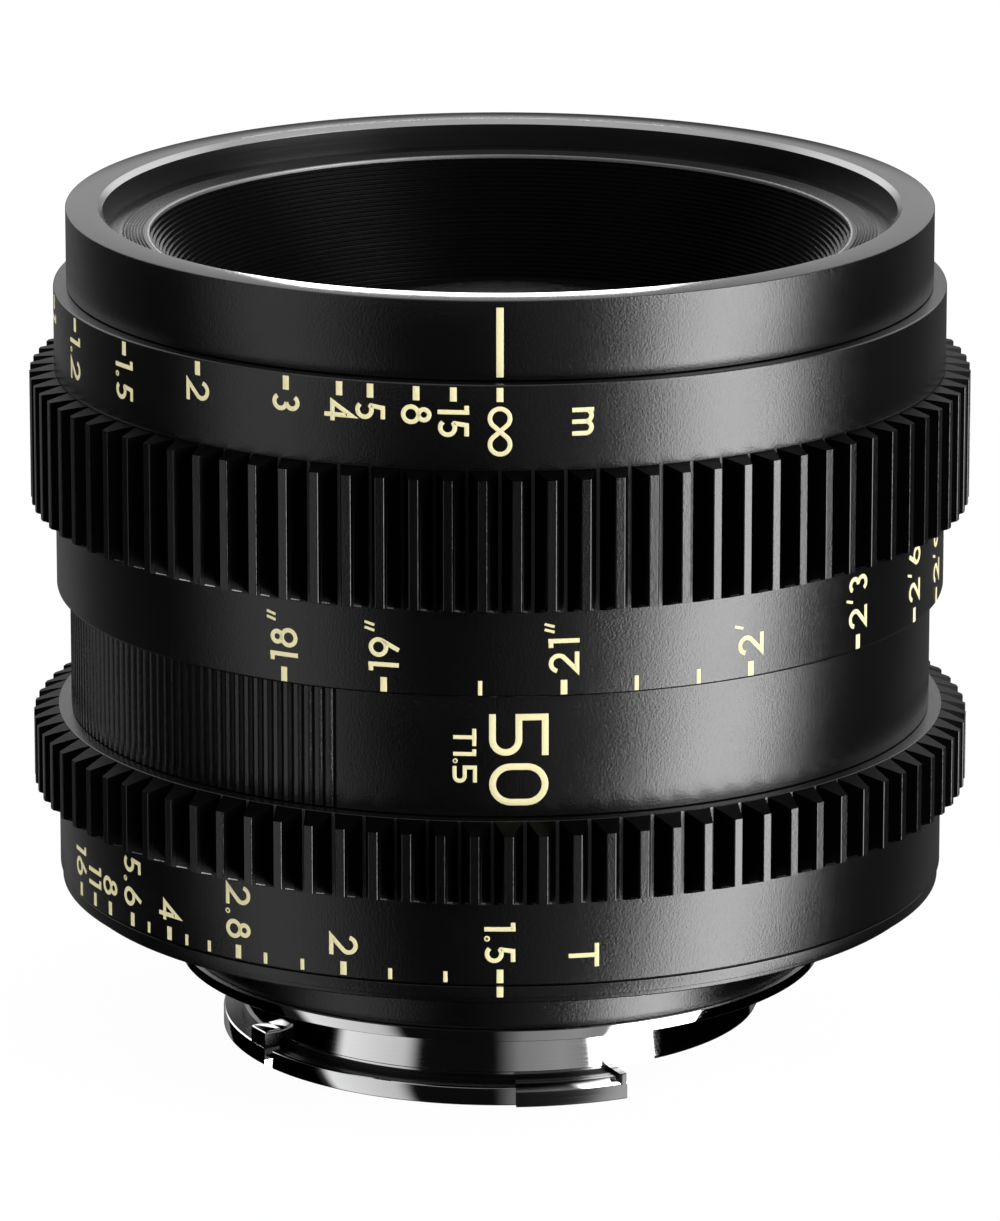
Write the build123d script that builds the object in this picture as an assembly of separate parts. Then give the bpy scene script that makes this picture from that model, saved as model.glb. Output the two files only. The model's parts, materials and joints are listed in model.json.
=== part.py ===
from build123d import *
import math
import os

# Heights along the optical axis, stacked from the bayonet lugs at the back to the front rim
lug_band = 2.03
neck_length = 4.21
mount_flange_height = 0.81
housing_height = 5.59
index_ring_height = 0.90
aperture_ring_height = 12.87
mid_barrel_height = 9.38
focus_ring_height = 23.87
front_barrel_height = 6.02
turning_gap = 0.08

# Radii and walls of the outside
barrel_radius = 33.47
ring_step = 1.01
index_ring_step = 0.83
skirt_radius = 24.70
mount_flange_radius = 25.17
neck_radius = 20.40
lug_radius = 21.80
ring_wall = 2.88
barrel_wall = 1.97
outer_chamfer = 0.12

# Standard follow gear on both rings
gear_module = 0.8
gear_teeth = 89
pressure_angle = 20.0
gear_embed = 0.30
gear_lead_in = 0.20
gear_tail_slope = 0.80
focus_gear_depth = 6.50
focus_gear_height = 10.90
focus_gear_slope = 0.51
focus_gear_turn = 2.022
aperture_gear_height = 6.53
aperture_gear_slope = 0.70
aperture_gear_turn = 1.07

# Motion
focus_turn = 208.0
focus_travel = 7.0
aperture_turn = 70.0
blade_turn = 37.0

# Running fits and seats
slide_clearance = 0.05
seat_clearance = 0.02
cut_overrun = 1.0

# Chassis tube
tube_bore = 24.20
tube_wall = 1.80
tube_flange_inset = 3.27
tube_flange_height = 1.50
tube_flange_depth = 8.60
tube_socket_depth = 1.44

# Front barrel and baffle
filter_wall = 2.87
rim_lead = 0.38
rim_chamfer = 0.40
ledge_depth = 2.17
ledge_height = 0.93
ledge_seat_width = 0.40
ledge_pocket_width = 0.40
ledge_lip = 0.22
ledge_groove_count = 7
ledge_groove_pitch = 0.24
ledge_groove_depth = 0.08
web_depth = 4.60
hub_clearance = 0.30
ledge_width = 3.60
baffle_throat_radius = 19.85
baffle_depth = 9.50
baffle_wall = 1.00
baffle_rib_count = 18
baffle_rib_depth = 0.16

# Cam sleeve and its fixing to the focus ring
sleeve_wall = 2.55
sleeve_flange_height = 1.80
focus_lip_height = 1.97
focus_lip_width = 2.40

# Middle barrel
mid_web_height = 3.00
flute_pitch_angle = 1.50
flute_first_angle = -21.8
flute_last_angle = -158.0
flute_depth = 0.22
flute_gap = 0.34

# Aperture ring and the fork that turns the iris
aperture_web_height = 4.00
aperture_web_lift = 0.90
fork_height = 2.40
fork_width = 7.00
fork_reach_radius = 21.40
fork_root_radius = 30.80
fork_notch_depth = 2.60
fork_window_margin = 1.5
fork_window_gap = 0.20

# Rear housing and bayonet
housing_rim_height = 0.64
housing_floor_height = 3.35
housing_skirt_height = 2.90
throat_radius = 18.60
mount_bore = 18.40
lug_core_radius = 18.90
main_lug_thickness = 1.50
stop_lug_thickness = 1.75
stop_lug_reach = 0.50
stop_lug_bevel = 0.55
main_lug_start = -112.0
main_lug_end = 3.2
stop_lug_end = 27.0
rear_lug_start = 112.0
rear_lug_end = 188.0
lock_notch_angle = -55.5
lock_notch_width = 1.10
lock_ramp_angle = -59.5
lock_ramp_width = 2.20
lock_ramp_height = 1.30
hook_angle = 26.2
hook_width = 0.60
hook_height = 1.15
lug_root_overlap = 0.30

# Screws
screw_radius = 0.50
screw_head_radius = 0.90
screw_head_height = 0.60
screw_bite = 1.20
socket_radius = 0.42
socket_depth = 0.35
mount_screw_circle = 22.80
mount_screw_count = 6
mount_screw_length = 3.00
front_screw_inset = 1.35
front_screw_count = 6
focus_screw_count = 6
fork_screw_circle = 28.60
fork_screw_spacing = 4.00
rear_cell_screw_circle = 19.30
rear_cell_screw_count = 4

# Lens cell: carrier, cells and follower pins
carrier_seat_radius = 21.20
carrier_lip_radius = 22.60
carrier_lip_height = 1.40
carrier_height = 25.20
front_cell_length = 9.90
iris_bore = 23.30
nose_radius = 19.40
nose_height = 8.70
nose_lip = 1.00
roller_radius = 1.25
follower_pin_radius = 0.80
follower_head_radius = 1.10
follower_head_height = 0.60
follower_head_gap = 0.15
follower_seat = 2.15
follower_depth = 4.80
follower_first_angle = -30.0
follower_count = 3

# Iris
iris_open_radius = 13.80
iris_base_height = 1.20
iris_ring_height = 1.20
iris_plate_height = 1.30
iris_gap = 0.10
iris_ring_clearance = 0.08
blade_count = 10
blade_thickness = 0.10
blade_pitch = 0.12
blade_inner_radius = 13.90
blade_outer_radius = 17.60
blade_tail_width = 1.30
blade_arc_start = -3.0
blade_arc_end = 85.0
blade_pivot_radius = 18.90
blade_lobe_radius = 0.90
blade_post_radius = 0.35
blade_pin_forward = 0.30
blade_pin_back = 4.70
blade_pin_radius = 0.32
blade_pin_clearance = 0.06
blade_slot_steps = 16
lever_width = 2.40
lever_inner_radius = 21.60
lever_outer_radius = 23.15
lever_first_angle = 100.0
lever_tail = 0.50
lever_slot_margin = 3.0

# Glass, numbered from the front, and what seats it
element_1_radius = 18.30
element_1_depth = 7.30
element_1_thickness = 6.50
element_1_front_curve = 42.0
element_1_back_curve = 120.0
element_2_radius = 16.80
element_2_gap = 0.70
element_2_thickness = 8.30
element_2_front_curve = 26.0
element_3_edge_thickness = 5.20
element_3_back_curve = 24.0
element_3_clear_radius = 13.20
element_4_radius = 15.95
element_4_edge_thickness = 7.00
element_4_front_curve = 20.0
element_4_clear_radius = 13.20
element_5_edge_thickness = 1.60
element_5_back_curve = 24.0
element_6_radius = 15.45
element_6_gap = 0.53
element_6_thickness = 6.40
element_6_curve = 60.0
element_7_gap = 0.40
element_7_thickness = 4.80
element_7_front_curve = 40.0
glass_clearance = 0.05
seat_width = 0.80
rear_seat_width = 1.35
retainer_height = 0.60
retainer_width = 0.80
inner_retainer_width = 2.80
rear_cell_radius = 17.60
rear_cell_flange_radius = 20.80
rear_cell_flange_height = 1.60
rear_cell_overhang = 1.00

# Levels worked out from the stack
seat_level = lug_band + neck_length
housing_bottom = seat_level + mount_flange_height
housing_top = housing_bottom + housing_height
index_ring_top = housing_top + index_ring_height
aperture_bottom = index_ring_top + turning_gap
aperture_top = aperture_bottom + aperture_ring_height
mid_bottom = aperture_top + turning_gap
mid_top = mid_bottom + mid_barrel_height
focus_bottom = mid_top + turning_gap
focus_top = focus_bottom + focus_ring_height
front_bottom = focus_top + turning_gap
rim_level = front_bottom + front_barrel_height
ledge_level = rim_level - ledge_depth
ledge_bottom = ledge_level - ledge_height
baffle_bottom = ledge_level - baffle_depth
web_top = rim_level - web_depth
tube_bottom = housing_top - tube_socket_depth
tube_top = rim_level - tube_flange_depth
tube_flange_bottom = tube_top - tube_flange_height
lip_top = focus_bottom + focus_lip_height
sleeve_flange_top = lip_top + sleeve_flange_height
sleeve_top = tube_flange_bottom - turning_gap
aperture_web_bottom = aperture_bottom + aperture_web_lift
aperture_web_top = aperture_web_bottom + aperture_web_height
housing_floor = housing_bottom + housing_floor_height

# Radii worked out from the fits
ring_radius = barrel_radius + ring_step
index_ring_radius = barrel_radius + index_ring_step
filter_thread_radius = barrel_radius - filter_wall
rim_inner_radius = filter_thread_radius + rim_lead
baffle_mouth_radius = filter_thread_radius - ledge_width
hub_inner_radius = baffle_mouth_radius + hub_clearance
tube_flange_radius = barrel_radius - tube_flange_inset
front_screw_circle = tube_flange_radius - front_screw_inset
tube_radius = tube_bore + tube_wall
sleeve_bore = tube_radius + slide_clearance
sleeve_radius = sleeve_bore + sleeve_wall
ring_inner_radius = ring_radius - ring_wall
barrel_inner_radius = barrel_radius - barrel_wall
focus_lip_radius = ring_inner_radius - focus_lip_width
sleeve_flange_radius = ring_inner_radius - slide_clearance
focus_screw_circle = (focus_lip_radius + ring_inner_radius) / 2
carrier_radius = tube_bore - slide_clearance
ledge_pocket_radius = filter_thread_radius - ledge_pocket_width
slot_half_width = roller_radius + slide_clearance
pitch_radius = gear_module * gear_teeth / 2
gear_radius = pitch_radius + gear_module


def sag(curve, radius):
    """Drop of a spherical surface at a radius from its vertex."""
    return curve - math.sqrt(curve ** 2 - radius ** 2)


# Levels of the moving lens cell at infinity focus
front_vertex_1 = rim_level - element_1_depth
back_vertex_1 = front_vertex_1 - element_1_thickness
nose_top = front_vertex_1 - sag(element_1_front_curve, element_1_radius) + nose_lip
carrier_top = nose_top - nose_height
carrier_bottom = carrier_top - carrier_height
front_cell_bottom = carrier_top - front_cell_length
follower_level = carrier_top - follower_depth
front_vertex_2 = back_vertex_1 - element_2_gap
cement_level_2 = front_vertex_2 - element_2_thickness
element_3_bottom = cement_level_2 - element_3_edge_thickness
iris_base_bottom = front_cell_bottom - iris_base_height
blade_stack_top = iris_base_bottom - iris_gap
blade_stack_bottom = blade_stack_top - blade_pitch * blade_count
iris_ring_top = blade_stack_bottom - 2 * iris_gap
iris_ring_bottom = iris_ring_top - iris_ring_height
iris_plate_top = iris_ring_bottom - iris_gap
iris_plate_bottom = iris_plate_top - iris_plate_height
element_4_top = iris_plate_bottom - glass_clearance
cement_level_4 = element_4_top - element_4_edge_thickness
element_5_edge = cement_level_4 - element_5_edge_thickness
back_vertex_5 = element_5_edge - sag(element_5_back_curve, element_4_radius)
front_vertex_6 = back_vertex_5 - element_6_gap
back_vertex_6 = front_vertex_6 - element_6_thickness
front_vertex_7 = back_vertex_6 - element_7_gap
element_7_bottom = front_vertex_7 - element_7_thickness
rear_cell_bottom = element_7_bottom - rear_cell_overhang
fork_bottom = aperture_web_top
fork_top = fork_bottom + fork_height
lever_bottom = fork_bottom - focus_travel - lever_tail


def turned(points, start=0, arc=360):
    """Solid turned about the optical axis from an outline of (radius, level) points."""
    face = Plane.XZ * make_face(Polyline(*points, close=True))
    return Rot(0, 0, start) * revolve(face, Axis.Z, revolution_arc=arc)


def ring(inner, outer, low, high, start=0, arc=360):
    """Plain ring, or a sector of one."""
    corners = [(inner, low), (outer, low), (outer, high), (inner, high)]
    return turned(corners, start, arc)


def rod(radius, low, high, x=0, y=0):
    """Upright round rod."""
    base = (Align.CENTER, Align.CENTER, Align.MIN)
    return Pos(x, y, low) * Cylinder(radius, high - low, align=base)


def on_circle(radius, angle):
    """Point on a circle about the axis, at an angle from +X."""
    turn = math.radians(angle)
    return radius * math.cos(turn), radius * math.sin(turn)


def facing(angle):
    """Angle from +X of a place given from the index line at -Y, positive to the right."""
    return angle - 90


def block(inner, outer, width, low, high, angle):
    """Radial block at an angle from +X, between two radii and two levels."""
    bar = Box(outer - inner, width, high - low)
    centre = Pos((inner + outer) / 2, 0, (low + high) / 2)
    return Rot(0, 0, angle) * centre * bar


def radial_rod(radius, inner, outer, level, angle):
    """Round rod along a radius."""
    bar = Cylinder(radius, outer - inner, align=(Align.CENTER, Align.CENTER, Align.MIN))
    return Rot(0, 0, angle) * Pos(inner, 0, level) * Rot(0, 90, 0) * bar


def screw(low, head_low, x, y, downward=False):
    """Socket-head screw, upright or with its head at the bottom."""
    if downward:
        shank = rod(screw_radius, head_low, low, x, y)
        head = rod(screw_head_radius, head_low - screw_head_height, head_low, x, y)
        socket_low = head_low - screw_head_height
        socket = rod(socket_radius, socket_low, socket_low + socket_depth, x, y)
    else:
        shank = rod(screw_radius, low, head_low, x, y)
        head = rod(screw_head_radius, head_low, head_low + screw_head_height, x, y)
        socket_high = head_low + screw_head_height
        socket = rod(socket_radius, socket_high - socket_depth, socket_high, x, y)
    return shank + head - socket


def screw_places(circle, count, first=0):
    """Points of a screw circle."""
    return [on_circle(circle, first + 360 * index / count) for index in range(count)]


def screw_holes(low, high, places):
    """Clearance holes for a circle of screws."""
    return [rod(screw_radius + seat_clearance, low, high, x, y) for x, y in places]


def gear_band(top, height, slope, turn):
    """Straight-flanked 0.8 module teeth with chamfered ends, rooted in the ring's wall."""
    bottom = top - height
    root = ring_radius - gear_embed
    core = root - gear_embed
    flank = math.tan(math.radians(pressure_angle))
    half_pitch = math.pi * gear_module / 4
    root_half = math.degrees((half_pitch + (pitch_radius - root) * flank) / root)
    tip_half = math.degrees((half_pitch - gear_module * flank) / gear_radius)
    outline = []
    for tooth in range(gear_teeth):
        middle = facing(turn) + 360 * tooth / gear_teeth
        outline.append(on_circle(root, middle - root_half))
        outline.append(on_circle(gear_radius + cut_overrun, middle - tip_half))
        outline.append(on_circle(gear_radius + cut_overrun, middle + tip_half))
        outline.append(on_circle(root, middle + root_half))
    star = Pos(0, 0, bottom) * extrude(make_face(Polyline(*outline, close=True)), height)
    blank = turned([
        (core, bottom), (ring_radius, bottom), (gear_radius, bottom + gear_tail_slope),
        (gear_radius, top - slope - 2 * gear_lead_in), (gear_radius - gear_lead_in, top - slope),
        (ring_radius, top), (core, top),
    ])
    return star & blank


def make_front_barrel():
    """Front barrel with the filter thread's bore, a seat for the baffle and a hub on the tube."""
    seat_radius = ledge_pocket_radius - ledge_seat_width
    body = turned([
        (barrel_radius, front_bottom), (barrel_radius, rim_level - outer_chamfer),
        (barrel_radius - outer_chamfer, rim_level), (rim_inner_radius, rim_level),
        (filter_thread_radius, rim_level - rim_chamfer), (filter_thread_radius, ledge_level),
        (ledge_pocket_radius, ledge_level), (ledge_pocket_radius, ledge_bottom),
        (seat_radius, ledge_bottom), (seat_radius, web_top), (hub_inner_radius, web_top),
        (hub_inner_radius, tube_top), (tube_flange_radius, tube_top),
        (tube_flange_radius, front_bottom),
    ])
    places = screw_places(front_screw_circle, front_screw_count)
    return body - screw_holes(tube_top - cut_overrun, web_top + cut_overrun, places)


def make_front_baffle():
    """Ledge with fine grooves, a bevelled lip and a ribbed cone that narrows to the glass."""
    outer = ledge_pocket_radius - seat_clearance
    points = [(outer, ledge_level)]
    first_groove = baffle_mouth_radius + ledge_lip + ledge_groove_pitch * ledge_groove_count
    for groove in range(ledge_groove_count):
        radius = first_groove - groove * ledge_groove_pitch
        points.append((radius, ledge_level))
        points.append((radius - ledge_groove_pitch / 2, ledge_level - ledge_groove_depth))
    points.append((baffle_mouth_radius + ledge_lip, ledge_level))
    mouth_level = ledge_level - ledge_lip
    radius_step = (baffle_mouth_radius - baffle_throat_radius) / baffle_rib_count
    level_step = (mouth_level - baffle_bottom) / baffle_rib_count
    for rib in range(baffle_rib_count):
        radius = baffle_mouth_radius - rib * radius_step
        level = mouth_level - rib * level_step
        points.append((radius, level))
        valley_radius = radius - radius_step / 2 + baffle_rib_depth
        points.append((valley_radius, level - level_step / 2 - baffle_rib_depth))
    points.append((baffle_throat_radius, baffle_bottom))
    points.append((baffle_throat_radius + baffle_wall, baffle_bottom))
    points.append((baffle_mouth_radius + baffle_wall, ledge_bottom))
    points.append((outer, ledge_bottom))
    return turned(points)


def make_main_tube():
    """Chassis tube with key slots for the followers and an arc window for the iris fork."""
    body = turned([
        (tube_bore, tube_bottom), (tube_radius, tube_bottom), (tube_radius, tube_flange_bottom),
        (tube_flange_radius, tube_flange_bottom), (tube_flange_radius, tube_top),
        (tube_bore, tube_top),
    ])
    inner = tube_bore - cut_overrun
    outer = tube_radius + cut_overrun
    far_level = follower_level + focus_travel
    cuts = []
    for angle in follower_angles:
        width = 2 * slot_half_width
        cuts.append(block(inner, outer, width, follower_level, far_level, angle))
        cuts.append(radial_rod(slot_half_width, inner, outer, follower_level, angle))
        cuts.append(radial_rod(slot_half_width, inner, outer, far_level, angle))
    half_fork = math.degrees(math.asin(fork_width / 2 / tube_bore)) + fork_window_margin
    start = lever_first_angle - half_fork
    low = fork_bottom - fork_window_gap
    high = fork_top + fork_window_gap
    cuts.append(ring(inner, outer, low, high, start, aperture_turn + 2 * half_fork))
    places = screw_places(front_screw_circle, front_screw_count)
    cuts.extend(screw_holes(tube_flange_bottom - cut_overrun, tube_top + cut_overrun, places))
    return body - cuts


def make_mid_barrel():
    """Middle barrel: smooth on one side, finely fluted on the other, on a web round the tube."""
    web_low = (mid_bottom + mid_top - mid_web_height) / 2
    web_high = web_low + mid_web_height
    body = turned([
        (barrel_radius, mid_bottom), (barrel_radius, mid_top), (barrel_inner_radius, mid_top),
        (barrel_inner_radius, web_high), (tube_radius, web_high), (tube_radius, web_low),
        (barrel_inner_radius, web_low), (barrel_inner_radius, mid_bottom),
    ])
    flute = Box(2 * flute_depth, flute_gap, mid_top - mid_bottom + 2 * cut_overrun)
    flute = Pos(barrel_radius, 0, (mid_bottom + mid_top) / 2) * flute
    count = int((flute_first_angle - flute_last_angle) / flute_pitch_angle)
    angles = [facing(flute_first_angle - step * flute_pitch_angle) for step in range(count + 1)]
    return body - [Rot(0, 0, angle) * flute for angle in angles]


def make_focus_ring():
    """Focus ring with its gear, and an inner lip that the cam sleeve is screwed to."""
    body = turned([
        (focus_lip_radius, focus_bottom), (ring_radius, focus_bottom),
        (ring_radius, focus_top - outer_chamfer), (ring_radius - outer_chamfer, focus_top),
        (ring_inner_radius, focus_top), (ring_inner_radius, lip_top), (focus_lip_radius, lip_top),
    ])
    gear_top = focus_top - focus_gear_depth
    body += gear_band(gear_top, focus_gear_height, focus_gear_slope, focus_gear_turn)
    places = screw_places(focus_screw_circle, focus_screw_count)
    return body - screw_holes(lip_top - screw_bite, lip_top + cut_overrun, places)


def make_cam_sleeve():
    """Sleeve with three helical cam slots that push the lens cell forward as it turns."""
    body = turned([
        (sleeve_bore, lip_top), (sleeve_flange_radius, lip_top),
        (sleeve_flange_radius, sleeve_flange_top), (sleeve_radius, sleeve_flange_top),
        (sleeve_radius, sleeve_top), (sleeve_bore, sleeve_top),
    ])
    middle_radius = (sleeve_bore + sleeve_radius) / 2
    inner = sleeve_bore - cut_overrun
    outer = sleeve_radius + cut_overrun
    lead = focus_travel * 360 / focus_turn
    path = Helix(pitch=lead, height=focus_travel, radius=middle_radius, lefthand=True)
    section = Plane(origin=path @ 0, x_dir=(1, 0, 0), z_dir=path % 0)
    slot = sweep(section * Rectangle(outer - inner, 2 * slot_half_width), path=path, is_frenet=True)
    cuts = []
    for angle in follower_angles:
        cuts.append(Rot(0, 0, angle) * Pos(0, 0, follower_level) * slot)
        cuts.append(radial_rod(slot_half_width, inner, outer, follower_level, angle))
        far_level = follower_level + focus_travel
        cuts.append(radial_rod(slot_half_width, inner, outer, far_level, angle - focus_turn))
    places = screw_places(focus_screw_circle, focus_screw_count)
    cuts.extend(screw_holes(lip_top - cut_overrun, sleeve_flange_top + cut_overrun, places))
    for cut in cuts:
        body -= cut
    return body


def make_aperture_ring():
    """Aperture ring with its gear, on a web that runs on the chassis tube."""
    body = turned([
        (ring_radius - outer_chamfer, aperture_bottom), (ring_radius, aperture_bottom + outer_chamfer),
        (ring_radius, aperture_top), (ring_inner_radius, aperture_top),
        (ring_inner_radius, aperture_web_top), (sleeve_bore, aperture_web_top),
        (sleeve_bore, aperture_web_bottom), (ring_inner_radius, aperture_web_bottom),
        (ring_inner_radius, aperture_bottom),
    ])
    body += gear_band(aperture_top, aperture_gear_height, aperture_gear_slope, aperture_gear_turn)
    return body - screw_holes(fork_bottom - screw_bite, fork_bottom + cut_overrun, fork_screw_points)


def make_aperture_fork():
    """Fork on the aperture ring's web, reaching in through the tube to the iris lever."""
    arm = block(fork_reach_radius, fork_root_radius, fork_width, fork_bottom, fork_top, lever_first_angle)
    notch_end = fork_reach_radius + fork_notch_depth
    notch_width = lever_width + 2 * slide_clearance
    notch = block(
        fork_reach_radius - cut_overrun, notch_end, notch_width,
        fork_bottom - cut_overrun, fork_top + cut_overrun, lever_first_angle,
    )
    holes = screw_holes(fork_bottom - cut_overrun, fork_top + cut_overrun, fork_screw_points)
    return arm - notch - holes


def make_rear_housing():
    """Rear housing: a plate under the rings, a tapered underside and a round black skirt."""
    body = turned([
        (throat_radius, housing_bottom), (skirt_radius, housing_bottom),
        (skirt_radius, housing_bottom + housing_skirt_height),
        (barrel_radius, housing_top - housing_rim_height), (barrel_radius, housing_top),
        (tube_radius, housing_top), (tube_radius, tube_bottom), (tube_bore, tube_bottom),
        (tube_bore, housing_floor), (throat_radius, housing_floor),
    ])
    places = screw_places(mount_screw_circle, mount_screw_count)
    return body - screw_holes(housing_bottom - cut_overrun, housing_bottom + mount_screw_length, places)


def lug(radius, thickness, bevel, start, end):
    """One bayonet lug on the lug band, between two angles from the index line."""
    outline = [
        (lug_core_radius, 0), (radius, 0), (radius, thickness - bevel), (radius - bevel, thickness),
        (neck_radius, thickness), (neck_radius, lug_band), (lug_core_radius, lug_band),
    ]
    return turned(outline, facing(start), end - start)


def make_bayonet_mount():
    """Chrome bayonet: seat flange, neck and lugs, with a lock notch, a ramp and a stop hook."""
    body = turned([
        (mount_bore, lug_band), (neck_radius, lug_band), (neck_radius, seat_level),
        (mount_flange_radius, seat_level), (mount_flange_radius, housing_bottom),
        (mount_bore, housing_bottom),
    ])
    stop_radius = lug_radius + stop_lug_reach
    body += lug(lug_radius, main_lug_thickness, outer_chamfer, main_lug_start, main_lug_end)
    body += lug(stop_radius, stop_lug_thickness, stop_lug_bevel, main_lug_end, stop_lug_end)
    body += lug(lug_radius, main_lug_thickness, outer_chamfer, rear_lug_start, rear_lug_end)
    root = neck_radius - lug_root_overlap
    ramp_top = main_lug_thickness + lock_ramp_height
    ramp_angle = facing(lock_ramp_angle)
    body += block(root, lug_radius, lock_ramp_width, main_lug_thickness, ramp_top, ramp_angle)
    hook_low = stop_lug_thickness / 2
    hook_top = stop_lug_thickness + hook_height
    body += block(root, stop_radius, hook_width, hook_low, hook_top, facing(hook_angle))
    notch_high = main_lug_thickness
    notch_out = lug_radius + cut_overrun
    notch_low = -cut_overrun
    notch_angle = facing(lock_notch_angle)
    body -= block(neck_radius, notch_out, lock_notch_width, notch_low, notch_high, notch_angle)
    places = screw_places(mount_screw_circle, mount_screw_count)
    holes = screw_holes(seat_level - cut_overrun, housing_bottom + cut_overrun, places)
    head_radius = screw_head_radius + seat_clearance
    recess_top = seat_level + screw_head_height
    holes += [rod(head_radius, seat_level - cut_overrun, recess_top, x, y) for x, y in places]
    return body - holes


def make_carrier():
    """Carrier that slides in the chassis tube and holds both cells and the iris."""
    body = turned([
        (iris_bore, carrier_bottom), (carrier_radius, carrier_bottom), (carrier_radius, carrier_top),
        (carrier_lip_radius, carrier_top), (carrier_lip_radius, carrier_top - carrier_lip_height),
        (carrier_seat_radius, carrier_top - carrier_lip_height),
        (carrier_seat_radius, front_cell_bottom), (iris_bore, front_cell_bottom),
    ])
    hole_radius = follower_pin_radius + seat_clearance
    inner = carrier_radius - follower_seat
    outer = carrier_radius + cut_overrun
    return body - [radial_rod(hole_radius, inner, outer, follower_level, a) for a in follower_angles]


def make_front_cell():
    """Front cell: a nose round the first element, a flange on the carrier and inner seats."""
    bore = element_2_radius - seat_width
    wall_radius = element_2_radius + glass_clearance
    pocket = element_1_radius + glass_clearance
    outer = carrier_seat_radius - seat_clearance
    flange = carrier_lip_radius - seat_clearance
    flange_low = carrier_top - carrier_lip_height
    seat_1 = back_vertex_1 - sag(element_1_back_curve, element_1_radius)
    seat_2 = front_vertex_2 - sag(element_2_front_curve, bore)
    return turned([
        (pocket, nose_top), (nose_radius, nose_top), (nose_radius, carrier_top),
        (flange, carrier_top), (flange, flange_low), (outer, flange_low),
        (outer, front_cell_bottom), (wall_radius, front_cell_bottom), (wall_radius, seat_2),
        (bore, seat_2), (bore, seat_1), (pocket, seat_1),
    ])


def make_rear_cell():
    """Rear cell: a tube that reaches into the bayonet's throat, flanged under the iris plate."""
    front_pocket = element_4_radius + glass_clearance
    back_pocket = element_6_radius + glass_clearance
    bore = element_4_radius - rear_seat_width
    seat_5 = back_vertex_5 + sag(element_5_back_curve, bore)
    seat_6 = front_vertex_6 - sag(element_6_curve, bore)
    flange_low = iris_plate_bottom - rear_cell_flange_height
    body = turned([
        (back_pocket, rear_cell_bottom), (rear_cell_radius, rear_cell_bottom),
        (rear_cell_radius, flange_low), (rear_cell_flange_radius, flange_low),
        (rear_cell_flange_radius, iris_plate_bottom), (front_pocket, iris_plate_bottom),
        (front_pocket, seat_5), (bore, seat_5), (bore, seat_6), (back_pocket, seat_6),
    ])
    places = screw_places(rear_cell_screw_circle, rear_cell_screw_count)
    return body - screw_holes(flange_low - cut_overrun, iris_plate_bottom + cut_overrun, places)


def surface(vertex, curve, clear, radius):
    """Edges of one glass surface from the axis out, and its level at the rim."""
    if curve == 0:
        return [Line((0, vertex), (radius, vertex))], vertex
    bend = abs(curve)
    side = curve / bend
    middle = (clear / 2, vertex - side * sag(bend, clear / 2))
    edge_level = vertex - side * sag(bend, clear)
    edges = [ThreePointArc((0, vertex), middle, (clear, edge_level))]
    if clear < radius:
        edges.append(Line((clear, edge_level), (radius, edge_level)))
    return edges, edge_level


def glass(radius, front, back):
    """Lens element; each surface is (vertex, curve, clear radius), a positive curve falling outward."""
    front_edges, front_rim = surface(*front, radius)
    back_edges, back_rim = surface(*back, radius)
    side = Line((radius, front_rim), (radius, back_rim))
    axis = Line((0, front[0]), (0, back[0]))
    outline = Curve() + front_edges + [side] + back_edges + [axis]
    return revolve(Plane.XZ * make_face(outline), Axis.Z)


def make_glass():
    """Seven elements in five groups."""
    radius_1 = element_1_radius
    radius_2 = element_2_radius
    radius_4 = element_4_radius
    radius_6 = element_6_radius
    vertex_3 = element_3_bottom + sag(element_3_back_curve, element_3_clear_radius)
    vertex_4 = element_4_top - sag(element_4_front_curve, element_4_clear_radius)
    return {
        "lens_element_1": glass(
            radius_1,
            (front_vertex_1, element_1_front_curve, radius_1),
            (back_vertex_1, element_1_back_curve, radius_1),
        ),
        "lens_element_2": glass(
            radius_2,
            (front_vertex_2, element_2_front_curve, radius_2),
            (cement_level_2, 0, radius_2),
        ),
        "lens_element_3": glass(
            radius_2,
            (cement_level_2, 0, radius_2),
            (vertex_3, element_3_back_curve, element_3_clear_radius),
        ),
        "lens_element_4": glass(
            radius_4,
            (vertex_4, -element_4_front_curve, element_4_clear_radius),
            (cement_level_4, 0, radius_4),
        ),
        "lens_element_5": glass(
            radius_4,
            (cement_level_4, 0, radius_4),
            (back_vertex_5, -element_5_back_curve, radius_4),
        ),
        "lens_element_6": glass(
            radius_6,
            (front_vertex_6, element_6_curve, radius_6),
            (back_vertex_6, -element_6_curve, radius_6),
        ),
        "lens_element_7": glass(
            radius_6,
            (front_vertex_7, element_7_front_curve, radius_6),
            (element_7_bottom, 0, radius_6),
        ),
    }


def make_glass_rings():
    """Threaded rings that hold the glass in its cells, and the spacer between the last two."""
    outer_1 = element_1_radius + glass_clearance - seat_clearance
    inner_1 = element_1_radius - retainer_width
    low_1 = front_vertex_1 - sag(element_1_front_curve, inner_1)
    outer_2 = element_2_radius + glass_clearance - seat_clearance
    inner_2 = element_2_radius - inner_retainer_width
    outer_6 = element_6_radius + glass_clearance - seat_clearance
    inner_6 = element_6_radius - rear_seat_width
    spacer_high = back_vertex_6 + sag(element_6_curve, inner_6)
    spacer_low = front_vertex_7 - sag(element_7_front_curve, inner_6)
    return {
        "front_retaining_ring": ring(inner_1, outer_1, low_1, low_1 + retainer_height),
        "inner_retaining_ring": ring(inner_2, outer_2, element_3_bottom - retainer_height, element_3_bottom),
        "rear_spacer_ring": ring(inner_6, outer_6, spacer_low, spacer_high),
        "rear_retaining_ring": ring(inner_6, outer_6, element_7_bottom - retainer_height, element_7_bottom),
    }


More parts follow.
